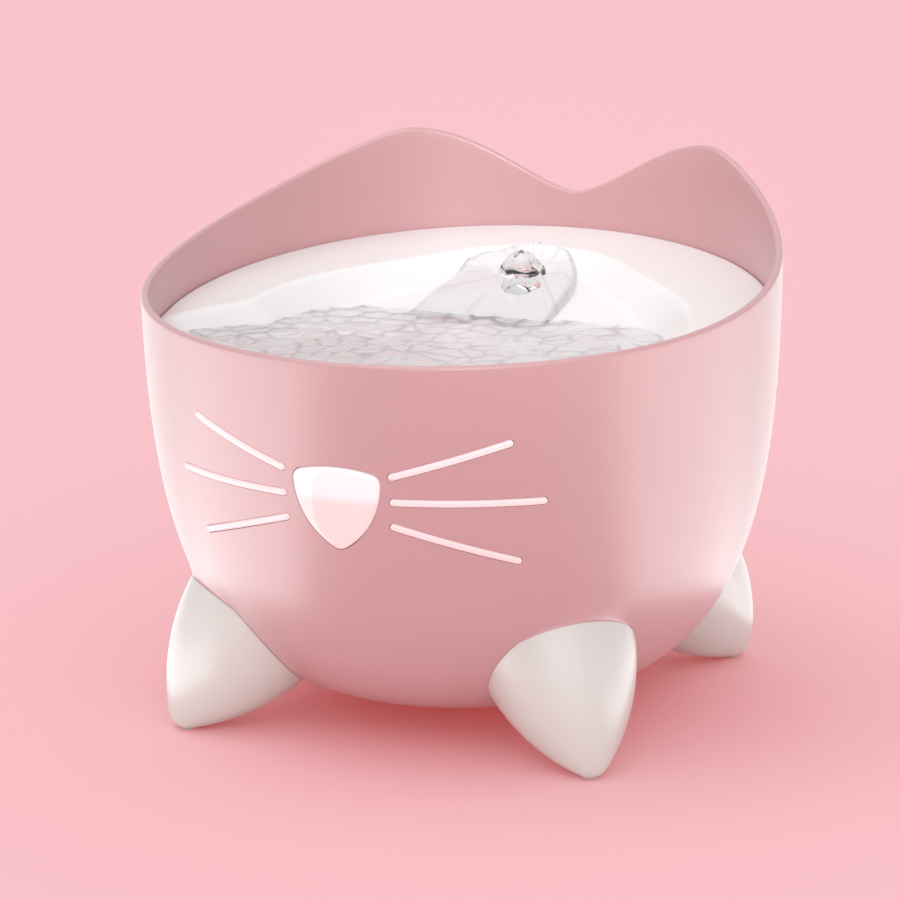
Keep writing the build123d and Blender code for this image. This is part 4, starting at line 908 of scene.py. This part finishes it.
# ---------------------------------------------------------------- hidden parts
# Pump, filter box, light box, leads and inlet: moulded plastic, silicone, rubber, steel and
# copper parts, screwed, clipped or pressed together inside the bowl.
def plain_finish(name, dark, light, roughness, metallic=0.0, grain_size=2.5, depth=0.0001):
    """Finish with a grain in its colour and its surface, drawn coarse enough to show."""
    material, tree = new_material(name)
    coords = add_node(tree, "ShaderNodeTexCoord").outputs["Object"]
    grain = add_node(tree, "ShaderNodeTexNoise", {
        "Vector": coords, "Scale": per_metre(grain_size), "Detail": 3.0})
    tone = add_node(tree, "ShaderNodeMix", {
        "Factor": grain.outputs["Fac"], "A": linear(dark), "B": linear(light)}, data_type="RGBA")
    bump = add_node(tree, "ShaderNodeBump", {
        "Height": grain.outputs["Fac"], "Strength": 0.15, "Distance": depth})
    shader = add_node(tree, "ShaderNodeBsdfPrincipled", {
        "Base Color": tone.outputs["Result"], "Roughness": roughness,
        "Metallic": metallic, "Normal": bump.outputs["Normal"]})
    finish_material(tree, shader.outputs["BSDF"])
    return material


hidden = [
    # Moulded silicone: milky and softly dull.
    (plain_finish("silicone_milky", "C9C6C3", "D8D5D2", 0.55),
     ["foot_pads", "outlet_seal", "face_light_gasket"]),
    # Moulded rubber and the leads' sheath: dull black.
    (plain_finish("rubber_black", "161616", "1F1F1F", 0.7),
     ["suction_cups", "pump_seal", "shaft_bushes", "inlet_gasket", "light_lead", "pump_lead"]),
    # Moulded ABS: black with a soft sheen.
    (plain_finish("abs_black", "1B1B1D", "242426", 0.45),
     ["motor_case", "motor_cap", "pump_cover", "inlet_jack"]),
    # Open-cell foam: rough dark grey with pores of about 1.4 mm.
    (plain_finish("foam_grey", "2C3036", "565C63", 0.95, 0.0, 1.43, 0.0008),
     ["filter_media"]),
    # Turned and stamped steel: bright with a soft mirror.
    (plain_finish("steel_turned", "B4B6BA", "C6C8CB", 0.3, 1.0),
     ["face_cover_screws", "stator_core", "pump_cover_screws", "dial_retainer", "rotor_shaft",
      "inlet_pin", "inlet_nut"]),
    # Sintered ferrite: dark grey and dull like stone.
    (plain_finish("ferrite_dark", "2A2A2C", "38383B", 0.6),
     ["rotor_magnet"]),
    # Enamelled copper wire: warm and shiny.
    (plain_finish("copper_enamelled", "A8622E", "C27A40", 0.3, 1.0),
     ["stator_coil"]),
    # Solder mask on a circuit board: smooth deep green.
    (plain_finish("board_green", "0E4A28", "13583A", 0.4),
     ["face_light_board"]),
    # Cast resin: pale yellow and glossy.
    (plain_finish("led_resin", "F1E7C2", "F8F0D4", 0.25),
     ["face_leds"]),
    # The same white ABS as the feet.
    (white,
     ["face_light_cover", "lead_clips", "riser_tube", "pump_housing", "housing_lid",
      "filter_cover", "filter_frame", "flow_dial", "impeller"]),
]
for material, names in hidden:
    for name in names:
        nodes[name].data.materials.clear()
        nodes[name].data.materials.append(material)
